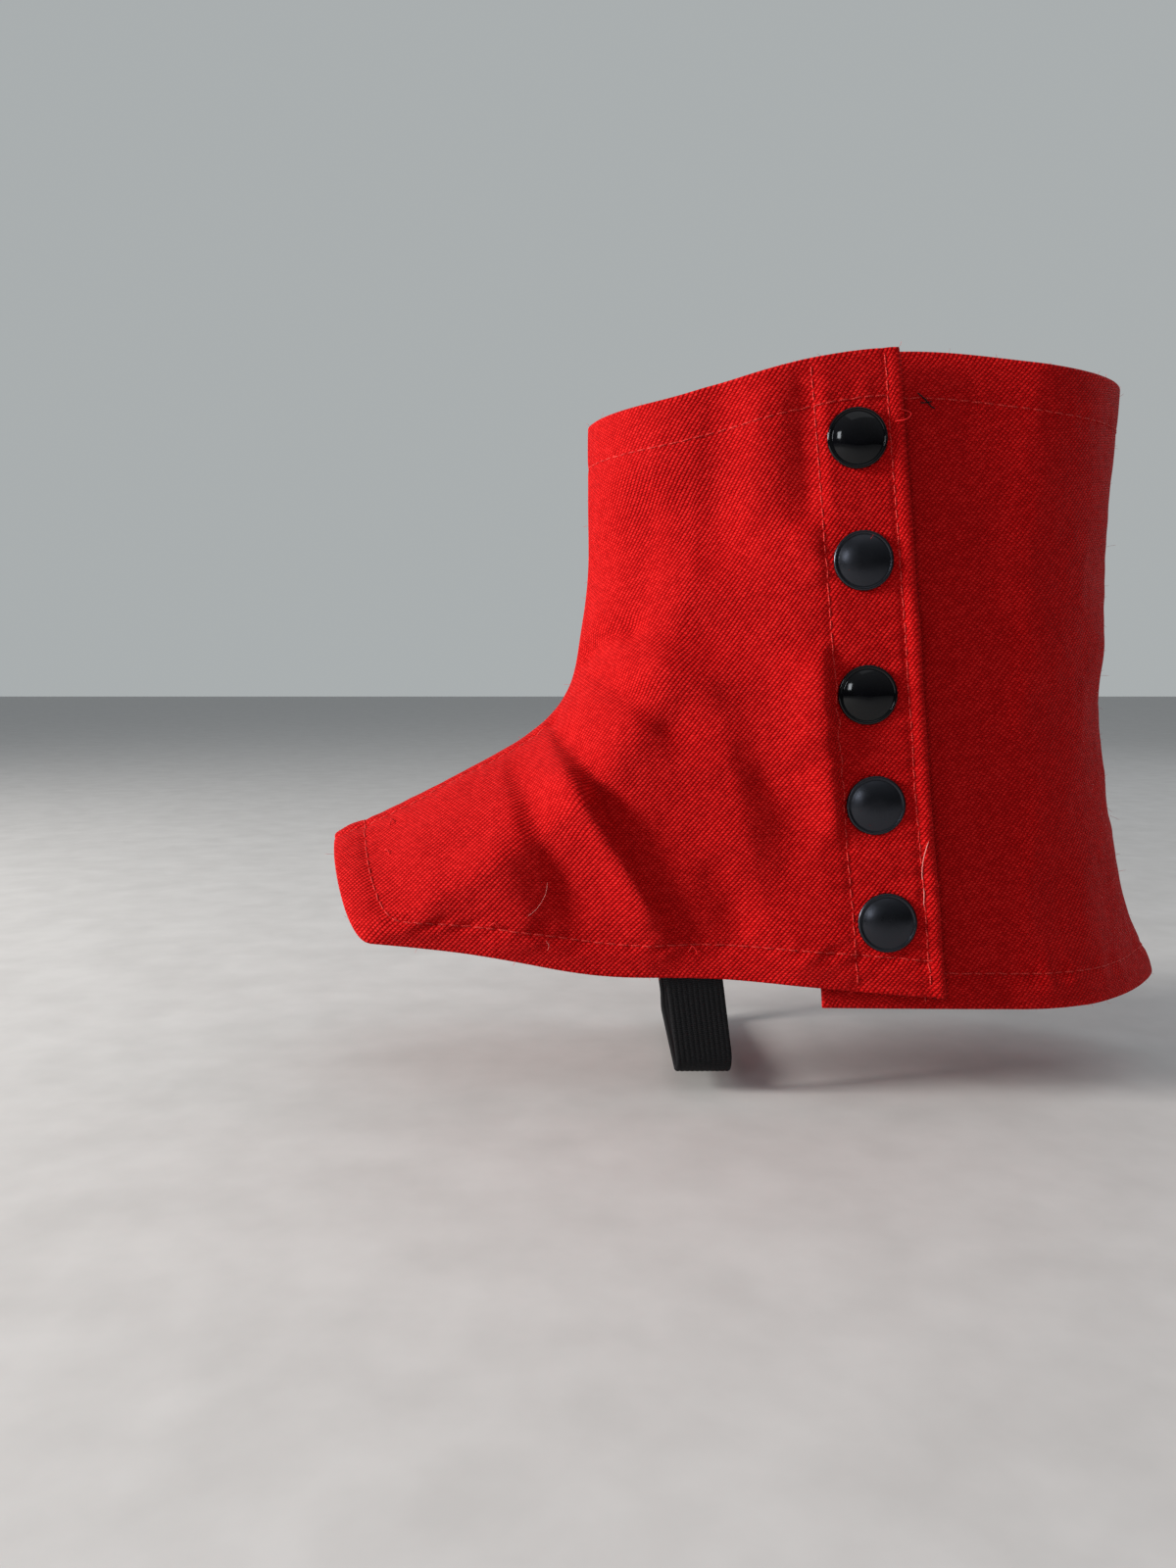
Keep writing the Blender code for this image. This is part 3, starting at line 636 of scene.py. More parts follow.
def red_twill():
    """Colour and height from the twill group, read in millimetres from the flat places. The colour paints
    highlight on the yarn's tops and shade in its gaps.
    """
    sheen = {"Sheen_Weight": 0.04, "Sheen_Roughness": 0.4, "Sheen_Tint": SHEEN_RED}
    material, tree, shader = new_material("red_twill", YARN_RED, 0.7, Specular_IOR_Level=0.08, **sheen)
    place = cloth_place(tree)
    weave = add(tree, "ShaderNodeGroup", node_tree=TWILL)
    for key, value in WEAVE_VALUES.items():
        weave.inputs[key].default_value = value
    tree.links.new(place, weave.inputs["Place"])
    cloud = noise(tree, place, scale=0.09, detail=4.0)
    fibre = noise(tree, place, scale=3.5, detail=5.0)
    # Brightness by the yarn's height is painted light: lighter on top, darker in the gaps. Tone, cloud and
    # fibre are the cloth's own uneven colour.
    painted_light_and_tone = maths(tree, "MULTIPLY", weave.outputs["Height"], BY_HEIGHT_SHADE)
    painted_light_and_tone = maths(tree, "MULTIPLY_ADD", weave.outputs["Tone"], BY_TONE, painted_light_and_tone)
    painted_light_and_tone = vary(tree, vary(tree, painted_light_and_tone, cloud, BY_CLOUD), fibre, BY_FIBRE)
    colour = ramp(tree, painted_light_and_tone, (0.05, GAP_SHADE_RED), (0.5, YARN_RED), (0.95, FLOAT_HIGHLIGHT_RED))
    tree.links.new(colour, shader.inputs["Base Color"])
    height = maths(tree, "MULTIPLY_ADD", fibre, 0.25, weave.outputs["Height"])
    raise_by(tree, shader, height, strength=1.0, distance=0.00027)
    return material


RED_TWILL = red_twill()
print("material:", RED_TWILL.name)

# %% [markdown]
# ## Sewing
# Along each line of stitches the thread pulls the cloth into a groove, and the cloth on both sides puckers.
# Outside the line the folded edge is plump. So each panel knows how far its points are from its edges, and
# those distances raise or lower it.

# %% Seams on the panels
RIM_BAND, HEM_BAND = 11.4, 9.4  # stitch lines from the rim and from the hem
EDGE_STITCH = 4.0  # from the free edge
FRONT_STITCH = 6.0  # from the centre-front seam
WAVES = 14
UNEVEN = ((0.26, 16, 44), (0.07, 5, 12))  # height of the cloth's waves, and their shortest and longest length
UNEVEN_STARTS, UNEVEN_LEAST = 9.0, 0.2  # distance from an edge over which they grow, and their share at it
GROOVE_HALF, PUCKER_HALF = 0.9, 3.6
PLUMP_POWER = 0.7  # of a folded edge's swell: less is fuller
PUFF, PUFF_HALF, PUFF_STARTS = 0.9, 11.0, 40.0  # the placket swells between its snaps, less at its top
FRONT_FROM, FRONT_GROWS = 70.0, 20.0  # the front seam is stitched down from here on
CUFF_SHARE, CUFF_ENDS = 0.45, 90.0  # the cuff is pressed smoother than the rest


def ripple(flat, seed, shortest, longest):
    """A soft uneven surface, mostly between -1 and 1: sine waves in many directions, added up."""
    dice = np.random.default_rng(seed)
    length = dice.uniform(shortest, longest, WAVES)
    angle, phase = dice.uniform(0, np.pi, WAVES), dice.uniform(0, 2 * np.pi, WAVES)
    reach = flat[..., :1] * np.cos(angle) + flat[..., 1:] * np.sin(angle)
    return np.sin(2 * np.pi * reach / length + phase).sum(axis=-1) / math.sqrt(WAVES)


def stitched(beside, along, depth=0.32, pucker=0.22, seed=1):
    """A stitch line's effect: a narrow groove, and ripples across it that die out on both sides."""
    dice = np.random.default_rng(seed)
    lengths, phases = dice.uniform(4.5, 11.0, 5), dice.uniform(0, 2 * np.pi, 5)
    wave = np.sin(2 * np.pi * along[..., None] / lengths + phases).sum(axis=-1) / 2.2
    groove = np.exp(-((beside / GROOVE_HALF) ** 2))
    return -depth * groove + pucker * wave * np.exp(-((beside / PUCKER_HALF) ** 2))


def plump(beside, width, height):
    """The swell of a folded edge: a power of sin(pi · distance / width), out to the stitch line."""
    return height * np.sin(np.pi * np.clip(beside / width, 0, 1)) ** PLUMP_POWER


def edge_distances(name):
    """Distances in mm along the cloth from a panel's rim, hem, front edge and back edge."""
    points = DRAPED[name]
    down, along = run(points, 0), run(points, 1)
    return down, down[-1:] - down, along, along[:, -1:] - along


SNAPS = ((1, -6.6, 57.6), (2, -4.5, 28.1), (3, -3.0, -4.7), (4, -0.5, -32.2), (5, 2.5, -61.6))


def sewn_detail(name):
    """How far each point of a panel moves out for its seams, hems, snaps and the cloth's unevenness."""
    points, flat = DRAPED[name], FLAT[name]
    rim, hem, front, back = edge_distances(name)
    seed = sorted(GRIDS).index(name) * 10
    waves = [high * ripple(flat, seed + k, *lengths) for k, (high, *lengths) in enumerate(UNEVEN, 1)]
    near = smooth(np.minimum(np.minimum(rim, hem), front) / UNEVEN_STARTS)
    out = sum(waves) * (near * (1 - UNEVEN_LEAST) + UNEVEN_LEAST)
    out += plump(rim, RIM_BAND, 0.3) + stitched(rim - RIM_BAND, front, seed=seed + 3)
    out += plump(hem, HEM_BAND, 0.5) + stitched(hem - HEM_BAND, front, seed=seed + 4)
    if name == "outer_front":
        out += plump(back, EDGE_STITCH, 0.6) + stitched(back - EDGE_STITCH, rim, 0.45, 0.24, seed + 5)
        out += stitched(back - PLACKET, rim, 0.3, 0.26, seed + 6)
        puff = PUFF * smooth((PLACKET - back) / UNEVEN_STARTS) * smooth((rim - RIM_BAND) / PUFF_STARTS)
        for _number, x, z in SNAPS:
            away = np.hypot(points[..., 0] - x, points[..., 2] - z)
            puff *= 1 - np.exp(-((away / PUFF_HALF) ** 2))
        out += puff
    if name != "outer_back":
        below = smooth((rim - FRONT_FROM) / FRONT_GROWS)
        out += stitched(front - FRONT_STITCH, rim, 0.4, 0.12, seed + 7) * below
        out += plump(front, FRONT_STITCH, 0.45) * below
    return out * (CUFF_SHARE + (1 - CUFF_SHARE) * smooth(rim / CUFF_ENDS))


DETAIL = {name: sewn_detail(name) for name in GRIDS}
for name, out in DETAIL.items():
    print(name, f"detail from {out.min():.2f} to {out.max():.2f} mm")

# %% [markdown]
# ## Walls
# A panel is one millimetre of cloth, and two layers where it is folded: at its hems and along the closure. It
# becomes a closed shell: its outer face, an inner face behind it, and round edges where the two meet.

# %% Walls
FACING = 26.0  # width of the folded edge of the underlap
SEAM_GAP = 0.3  # between panels that are sewn together
PAST_STITCH = 0.5  # the folded layer ends this far past its stitches


def thickness(name):
    """Cloth thickness of each point: two layers within the folded bands, one elsewhere."""
    rim, hem, front, back = edge_distances(name)
    inside = [RIM_BAND - rim, HEM_BAND - hem]
    if name == "outer_front":
        inside.append(PLACKET - back)
    if name == "outer_back":
        inside.append(FACING - front)
    return WALL + (DOUBLE - WALL) * smooth(np.maximum.reduce(inside) + PAST_STITCH)


def shell_faces(name):
    """Outer and inner points of a panel. Near an edge both move to mid thickness on a quarter circle."""
    outer = DRAPED[name]
    outer = outer + normals(outer) * DETAIL[name][..., None]
    thick = thickness(name)
    near = np.minimum.reduce(edge_distances(name))
    rest = 1 - np.clip(near / (thick / 2), 0, 1)
    sink = thick / 2 * (1 - np.sqrt(np.maximum(1 - rest**2, 0)))
    out = normals(outer)
    inner = outer - out * (thick - sink)[..., None]
    outer = outer - out * sink[..., None]
    for face in (outer, inner):
        face[..., 1] = np.minimum(face[..., 1], -SEAM_GAP / 2)
    return outer, inner


print("cloth, mm:", WALL, "and", DOUBLE, "where it is folded")

# %% [markdown]
# ## From points to meshes
# The two faces of a panel are grids whose borders are the same points, so their quads close the shell. Points
# and faces go into the mesh in one call, and each piece is told to move with the body.


# %% Panel meshes
def grid_quads(index):
    """Quads over a grid of vertex numbers."""
    return np.stack([index[:-1, :-1], index[1:, :-1], index[1:, 1:], index[:-1, 1:]], axis=-1).reshape(-1, 4)


def ring_index(rings, sides):
    """Vertex numbers of rings of points, with each ring's first point once more at its end."""
    index = np.arange(rings * sides).reshape(rings, sides)
    return np.concatenate([index, index[:, :1]], axis=1)


def finish_mesh(name, points, faces, material, flat=None):
    """A smooth-shaded object from points in mm and lists of faces, with flat places as its UV map."""
    mesh = bpy.data.meshes.new(name)
    mesh.from_pydata((np.asarray(points) * MM).tolist(), [], faces)
    mesh.polygons.foreach_set("use_smooth", np.ones(len(mesh.polygons), bool))
    if flat is not None:
        corner = np.zeros(len(mesh.loops), np.int32)
        mesh.loops.foreach_get("vertex_index", corner)
        places = (flat / UV_MM)[corner].astype(np.float32)
        mesh.uv_layers.new(name="cloth").data.foreach_set("uv", places.ravel())
    mesh.materials.append(material)
    mesh.validate()
    made = put(name, mesh)
    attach(made, "root")
    return made


def shell(name, outer, inner, flat, material):
    """A closed mesh from two grids whose borders are the same points."""
    rows, columns = outer.shape[:2]
    front = np.arange(rows * columns).reshape(rows, columns)
    behind = front.copy()
    behind[1:-1, 1:-1] = rows * columns + np.arange((rows - 2) * (columns - 2)).reshape(rows - 2, -1)
    points = np.concatenate([outer.reshape(-1, 3), inner[1:-1, 1:-1].reshape(-1, 3)])
    places = np.concatenate([flat.reshape(-1, 2), flat[1:-1, 1:-1].reshape(-1, 2)])
    faces = np.concatenate([grid_quads(front), grid_quads(behind)[:, ::-1]])
    return finish_mesh(name, points, faces.tolist(), material, places)


FACES, PANELS = {}, {}
for name in GRIDS:
    outer, inner = shell_faces(name)
    flat = FLAT[name]
    if name == "inner_panel":
        outer, inner, flat = (a[:, ::-1] for a in (outer * (1, -1, 1), inner * (1, -1, 1), flat))
    FACES[name] = (outer, inner)
    PANELS[name] = shell("cloth_" + name, outer, inner, flat, RED_TWILL)
    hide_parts(name)
    print(name, "faces:", len(PANELS[name].data.polygons))

# %% [markdown]
# ## Snaps
# A snap is two turned pieces of metal. A black cap holds the socket through the placket, and the stud is
# riveted through the underlap. Each is a profile turned about its own axis, which stands square to the cloth.

# %% Snap shapes
SNAP_SPAN = 0.04
CAP_R, CAP_BASE, CAP_RISE, CAP_ROLL = 7.4, STANDOFF + 0.12, 2.2, 0.5
DOME_DROP, DOME_POWER = 1.4, 2.5  # how far the dome falls to its edge, and how late


def snap_place(x, z):
    """Where a snap sits on the underlap, by halving the range of height shares, and its outward turn."""
    low, high = 0.0, 1.0
    for _halving in range(40):
        v = (low + high) / 2
        low, high = (v, high) if form(v, chord_share(v, x))[2] > z else (low, v)
    c = chord_share(v, x)
    along = form(v, c + SNAP_SPAN) - form(v, c - SNAP_SPAN)
    below, above = v + SNAP_SPAN, v - SNAP_SPAN
    down = form(below, chord_share(below, x)) - form(above, chord_share(above, x))
    out = Vector(np.cross(down, along)).normalized()
    return Matrix.Translation(Vector(form(v, c))) @ out.to_track_quat("Z", "Y").to_matrix().to_4x4()


def arc(r, h, radius, start, end, steps):
    """Profile points on an arc of a circle about (r, h), in degrees."""
    angle = np.radians(np.linspace(start, end, steps))
    return np.stack([r + radius * np.cos(angle), h + radius * np.sin(angle)], axis=-1)


def turned(name, profile, steps, place, material):
    """A profile of (radius, height) points from pole to pole, turned: x = r cos a, y = r sin a, z = h."""
    profile = np.asarray(profile, float)
    angle = np.linspace(0, 2 * np.pi, steps, endpoint=False)
    rings = profile[1:-1]
    x, y = rings[:, :1] * np.cos(angle), rings[:, :1] * np.sin(angle)
    body = np.stack([x, y, rings[:, 1:] + 0 * x], axis=-1).reshape(-1, 3)
    poles = np.array([[0, 0, profile[0, 1]], [0, 0, profile[-1, 1]]])
    points = np.concatenate([body, poles])
    points = np.c_[points, np.ones(len(points))] @ np.array(place).T
    index = ring_index(len(rings), steps)
    top = np.full(steps, len(body))
    fan_top = np.stack([top, index[0, :-1], index[0, 1:]], axis=-1)
    fan_low = np.stack([top + 1, index[-1, 1:], index[-1, :-1]], axis=-1)
    faces = [*grid_quads(index).tolist(), *fan_top.tolist(), *fan_low.tolist()]
    return finish_mesh(name, points[:, :3], faces, material)


print("snap places:", [np.round(snap_place(x, z).to_translation(), 1).tolist() for _number, x, z in SNAPS])

# %% [markdown]
# ## Profiles of the two halves
# A profile is half of what a saw would show through the middle of the piece, from its top to its bottom. Arcs
# make the rolled edges, and straight stretches the flat parts, the post and the socket.


# %% Snap profiles
def cap_profile():
    """Dome, a fine line round it, the rolled rim, the post through the cloth, and the socket below it."""
    edge = CAP_R - 2 * CAP_ROLL + 0.12
    r = np.linspace(0, edge, 16)
    dome = np.stack([r, CAP_BASE + CAP_RISE - DOME_DROP * (r / edge) ** DOME_POWER], axis=-1)
    return np.concatenate([
        dome,
        arc(CAP_R - CAP_ROLL, CAP_BASE + 0.5, CAP_ROLL, 125, -70, 12),
        [(CAP_R - 1.6, CAP_BASE), (1.5, CAP_BASE), (1.5, 2.45), (4.9, 2.45)],
        arc(4.9, 2.15, 0.3, 90, 0, 4),
        [(5.2, 1.2), (4.9, 0.95), (2.25, 0.95), (2.25, 2.2), (0, 2.2)],
    ])  # fmt: skip


def stud_profile():
    """Knob and flange on the outer face of the underlap, the post, and the eyelet ring inside it."""
    return np.concatenate([
        [(0, 1.85), (1.2, 1.85)], arc(1.5, 1.45, 0.4, 90, -30, 6), [(1.55, 0.75), (4.3, 0.75)],
        arc(4.4, 0.55, 0.2, 90, -90, 5), [(1.5, 0.35), (1.5, -1.95), (2.4, -1.95), (3.2, -2.0)],
        arc(3.95, -2.3, 0.42, 60, -120, 9), [(2.6, -2.35), (1.3, -2.2), (0, -2.2)],
    ])  # fmt: skip


print("snap profiles:", len(cap_profile()), "and", len(stud_profile()), "points")

# %% [markdown]
# ## Black and bare metal
# The caps are all lacquered alike in glossy black. Caps 2, 4 and 5 get a lighter, rougher copy of it, as
# painted reflection of the bright room that they show. All of them have faint smudges that spread the
# highlight.
# The studs are plain steel.


# %% Metal materials
def smudged(name, colour, low, high, metallic, **sockets):
    """Metal whose roughness goes from low to high in soft patches."""
    material, tree, shader = new_material(name, colour, low, metallic, **sockets)
    place = add(tree, "ShaderNodeTexCoord").outputs["Object"]
    patch = noise(tree, place, scale=220.0, detail=5.0)
    span = {"Value": patch, "From Min": 0.35, "From Max": 0.65, "To Min": low, "To Max": high}
    rough = add(tree, "ShaderNodeMapRange", span).outputs[0]
    tree.links.new(rough, shader.inputs["Roughness"])
    raise_by(tree, shader, noise(tree, place, scale=2500.0, detail=3.0), strength=0.05, distance=0.00002)
    return material


POLISHED = smudged("polished_black", (0.002, 0.002, 0.003), 0.05, 0.1, 0.0, Specular_IOR_Level=0.35)
SATIN_LIT_COPY = smudged("satin_black_lit_copy", (0.046, 0.048, 0.057), 0.26, 0.34, 1.0)
STEEL = smudged("bare_steel", (0.5, 0.5, 0.5), 0.25, 0.4, 1.0)

for number, x, z in SNAPS:
    place = snap_place(x, z)
    # Caps 2, 4 and 5 take the lighter copy of the black: painted reflection.
    finish = POLISHED if number in (1, 3) else SATIN_LIT_COPY
    cap = turned(f"cap_{number}", cap_profile(), 72, place, finish)
    stud = turned(f"stud_{number}", stud_profile(), 40, place, STEEL)
    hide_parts(f"snap_cap_{number}")
    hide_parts(f"snap_stud_{number}")
    print("snap", number, "faces:", len(cap.data.polygons), len(stud.data.polygons))

# %% [markdown]
# ## Elastic
# The strap is ribbed elastic: rubber cords run along it, with thread woven over them. Its section is a flat
# loop with a row of low round ribs, carried along the path down from one hem, under the shoe and up again.

# %% Elastic
STRAP_WIDE, STRAP_THICK = 14.5, 1.2
STRAP_X, STRAP_SOLE_X, STRAP_SOLE_Z = -45.3, -42.0, -102.5
STRAP_HALF, STRAP_CORNER, STRAP_LEAN, STRAP_TURN_UP = 33.0, 6.0, 8.0, 0.93
STRAP_RIBS, STRAP_RIB_HIGH, STRAP_EDGE = 11, 0.13, 22  # ribs, their height, and how square the edges are
STRAP_STEPS = 230


def strap_line():
    """Middle of the strap's outer face: inside the hem, straight down, round a corner, and across."""
    v = np.linspace(STRAP_TURN_UP, 1.0, 12)
    inside = form(v, chord_share(v, STRAP_X)) + (0, DOUBLE + 2 * SEAM_GAP, 0)
    corner_z = STRAP_SOLE_Z + STRAP_CORNER
    bend = arc(-STRAP_HALF + STRAP_CORNER, corner_z, STRAP_CORNER, 198, 270, 14)
    bend = np.stack([STRAP_SOLE_X + 0 * bend[:, 0], bend[:, 0], bend[:, 1]], axis=-1)
    share = np.linspace(0, 1, 14)[1:-1, None]
    down = inside[-1] * (1 - share) + bend[0] * share
    under = np.linspace(bend[-1, 1], 0, 24)[1:]
    under = np.stack([STRAP_SOLE_X + 0 * under, under, STRAP_SOLE_Z + 0 * under], axis=-1)
    half = np.concatenate([inside, down, bend, under])
    return np.concatenate([half, half[-2::-1] * (1, -1, 1)])


def at_lengths(at, along, line):
    """Points of a line at lengths `at`, where `along` is the length up to each of its points."""
    return np.stack([np.interp(at, along, line[:, k]) for k in range(3)], axis=-1)


def strap_surface(line):
    """Section loop carried along the line: ribs are |sin| bumps on both faces, and the edges are round."""
    along = run(line[None], 1)[0]
    even = np.linspace(0, along[-1], STRAP_STEPS)
    line = at_lengths(even, along, line)
    for _pass in range(3):
        line[1:-1] = (line[:-2] + 2 * line[1:-1] + line[2:]) / 4
    tilt = math.radians(STRAP_LEAN) * smooth((line[:, 2] - STRAP_SOLE_Z) / STRAP_CORNER)
    side = np.stack([np.cos(tilt), 0 * tilt, np.sin(tilt)], axis=-1)
    out = unit(np.cross(side, np.gradient(line, axis=0)))
    w = np.linspace(-1, 1, 6 * STRAP_RIBS + 1)
    rib = STRAP_RIB_HIGH * (np.abs(np.sin(np.pi * STRAP_RIBS * (w + 1) / 2)) ** 0.7 - 1)
    half = STRAP_THICK / 2 * np.sqrt(np.maximum(1 - np.abs(w) ** STRAP_EDGE, 0)) + rib
    across = np.concatenate([w, w[-2:0:-1]]) * STRAP_WIDE / 2
    high = np.concatenate([half, -half[-2:0:-1]]) - STRAP_THICK / 2
    points = line[:, None] + side[:, None] * across[None, :, None] + out[:, None] * high[None, :, None]
    lengthwise = np.repeat(even[:, None], len(across), 1)
    return points, np.stack([across + 0 * lengthwise, lengthwise], axis=-1)


def strap_mesh(points, flat, material):
    """Quads round the loop and along it, with a flat cap at each end."""
    index = ring_index(*points.shape[:2])
    faces = [*grid_quads(index)[:, ::-1].tolist(), index[0, -2::-1].tolist(), index[-1, :-1].tolist()]
    return finish_mesh("elastic_strap", points.reshape(-1, 3), faces, material, flat.reshape(-1, 2))


THREAD_ROW = 0.55  # from one row of thread to the next, along the strap


def black_elastic():
    """Fine thread across the cords: a sine along the length and noise, as height and tone."""
    dark, light = (0.003, 0.003, 0.0035), (0.016, 0.016, 0.018)
    plain = (0.006, 0.006, 0.007)
    material, tree, shader = new_material("black_elastic", plain, 0.8, Specular_IOR_Level=0.15)
    place = cloth_place(tree)
    parts = add(tree, "ShaderNodeSeparateXYZ", {0: place}).outputs
    rows = maths(tree, "SINE", maths(tree, "MULTIPLY", parts["Y"], 2 * math.pi / THREAD_ROW))
    fuzz = noise(tree, place, scale=2.5, detail=4.0)
    colour = ramp(tree, maths(tree, "MULTIPLY_ADD", rows, 0.2, fuzz), (0.2, dark), (0.8, light))
    tree.links.new(colour, shader.inputs["Base Color"])
    raise_by(tree, shader, maths(tree, "MULTIPLY_ADD", rows, 0.4, fuzz), strength=0.8, distance=0.00012)
    return material


strap = strap_mesh(*strap_surface(strap_line()), black_elastic())
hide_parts("strap")
strap_length = run(strap_line()[None], 1)[0, -1]
print(f"strap length {strap_length:.0f} mm, faces {len(strap.data.polygons)}")

# %% [markdown]
# ## Stitches
# Each stitch is a short piece of thread that arches out of one needle hole and into the next. The lines
# follow the same distances as the grooves do, inside and outside, and the small shape is repeated along them.

# %% Stitches
STITCH_PITCH, STITCH_LONG, THREAD_R = 3.1, 2.6, 0.19
RING_AT = np.array([-1.0, -0.86, -0.45, 0.0, 0.45, 0.86, 1.0])
RING_R = np.array([0.35, 0.8, 1.0, 1.0, 1.0, 0.8, 0.35])
THREAD_SIDES = 6
STITCH_ARCH, STITCH_SINK = 0.14, 0.05  # how high a stitch arches, and how deep its ends lie
LINE_ENDS = 2.0  # a line of stitches starts and ends this far from an edge
FRONT_LINE_FROM = 82.0  # the line beside the front seam starts this far below the rim


def pick(grid, rows, columns):
    """Values of a grid at fractional rows and columns, by straight lines between its points."""
    i = np.clip(np.floor(rows).astype(int), 0, grid.shape[0] - 2)
    j = np.clip(np.floor(columns).astype(int), 0, grid.shape[1] - 2)
    a, b = (rows - i)[:, None], (columns - j)[:, None]
    top = grid[i, j] * (1 - b) + grid[i, j + 1] * b
    return top * (1 - a) + (grid[i + 1, j] * (1 - b) + grid[i + 1, j + 1] * b) * a


def crossing(field, value):
    """For each column of a field that grows down its rows, the fractional row where it reaches a value."""
    i = np.clip(np.argmax(field >= value, axis=0), 1, len(field) - 1)
    columns = np.arange(field.shape[1])
    low, high = field[i - 1, columns], field[i, columns]
    return i - 1 + (value - low) / (high - low)


def rings_about(middle, side, up, radius, sides):
    """Rings of points: each middle plus radius · (side · cos a + up · sin a)."""
    angle = np.linspace(0, 2 * np.pi, sides, endpoint=False)[:, None]
    loop = side[:, :, None] * np.cos(angle) + up[:, :, None] * np.sin(angle)
    return middle[:, :, None] + radius[..., None, None] * loop


def stitch_run(line, out, seed):
    """Stitches on a line: rings of thread at even lengths, arched by 1 - t², swayed a little by chance."""
    dice = np.random.default_rng(seed)
    along = run(line[None], 1)[0]
    count = int((along[-1] - 2 * LINE_ENDS) / STITCH_PITCH)
    centre = LINE_ENDS + STITCH_PITCH * (np.arange(count) + 0.5) + dice.normal(0, 0.1, count)
    at = centre[:, None] + RING_AT * STITCH_LONG / 2 * dice.uniform(0.88, 1.06, (count, 1))
    up = unit(at_lengths(at, along, out))
    ahead = at_lengths(at + 0.4, along, line) - at_lengths(at - 0.4, along, line)
    side = unit(np.cross(up, ahead))
    sway = dice.normal(0, 0.07, (count, 1, 1)) * RING_AT[:, None]
    arch = STITCH_ARCH * (1 - RING_AT**2) - STITCH_SINK
    middle = at_lengths(at, along, line) + up * arch[:, None] + side * sway
    return rings_about(middle, side, up, RING_R * THREAD_R + 0 * at, THREAD_SIDES)


def tube_faces(count, rings, sides):
    """Faces of `count` closed tubes whose rings turn right-handed about their course: quads, and two caps."""
    index = ring_index(rings, sides)
    start = np.arange(count)[:, None, None] * rings * sides
    quads = grid_quads(index)[:, ::-1]
    caps = np.stack([index[0, -2::-1], index[-1, :-1]])
    return [*(quads + start).reshape(-1, 4).tolist(), *(caps + start).reshape(-1, sides).tolist()]


print("faces of one stitch:", len(tube_faces(1, len(RING_AT), THREAD_SIDES)))

# %% [markdown]
# ## Thread
# The thread is a shade lighter than the cloth and shines a little where its twist catches the light. It is
# sewn along the rim, the hem, the closure and both sides of the front seam, on both faces of each panel.


# %% Thread and lines of stitches
def red_thread():
    """Thread a little lighter than the cloth, with a fine twist as its height."""
    dark, light = (0.34, 0.002, 0.003), (0.74, 0.05, 0.04)
    material, tree, shader = new_material("red_thread", (0.6, 0.006, 0.006), 0.65, Specular_IOR_Level=0.2)
    place = add(tree, "ShaderNodeTexCoord").outputs["Object"]
    waves = {"Vector": place, "Scale": 900.0, "Distortion": 1.5}
    twist = add(tree, "ShaderNodeTexWave", waves, bands_direction="DIAGONAL").outputs["Fac"]
    tree.links.new(ramp(tree, twist, (0.0, dark), (1.0, light)), shader.inputs["Base Color"])
    raise_by(tree, shader, twist, strength=0.6, distance=0.00005)
    return material


def stitch_lines(name):
    """The lines of a panel as fractional rows and columns of its grid, before any mirroring."""
    rim, hem, front, back = edge_distances(name)
    rows, columns = rim.shape
    across, down = np.arange(columns, dtype=float), np.arange(rows, dtype=float)
    lines = {"rim": (crossing(rim, RIM_BAND), across), "hem": (crossing(-hem, -HEM_BAND), across)}
    if name == "outer_front":
        lines["edge"] = (down, crossing(-back.T, -EDGE_STITCH))
        lines["placket"] = (down, crossing(-back.T, -PLACKET))
    if name == "outer_back":
        lines["facing"] = (down, crossing(front.T, FACING))
    if name != "outer_back":
        keep = down > np.searchsorted(rim[:, 0], FRONT_LINE_FROM)
        lines["front"] = (down[keep], crossing(front.T, FRONT_STITCH)[keep])
    return lines


RED_THREAD = red_thread()
for name in GRIDS:
    outer, inner = FACES[name]
    runs = []
    for k, (rows, columns) in enumerate(stitch_lines(name).values()):
        if name == "inner_panel":
            columns = outer.shape[1] - 1 - columns
        for face, sign in ((outer, 1), (inner, -1)):
            line, out = pick(face, rows, columns), pick(normals(outer), rows, columns) * sign
            runs.append(stitch_run(line, out, 100 * k + 7 + sign).reshape(-1, 3))
    points = np.concatenate(runs)
    count = len(points) // (len(RING_AT) * THREAD_SIDES)
    faces = tube_faces(count, len(RING_AT), THREAD_SIDES)
    finish_mesh("stitches_" + name, points, faces, RED_THREAD)
    print(name, "stitches:", count)

# %% [markdown]
# ## Loose ends
# A sewn thing is never quite clean. A few ends of thread stand out where seams stop, a stray hair lies on the
# instep, and short fibres of the nap show against the light along the edges. All are thin closed tubes.

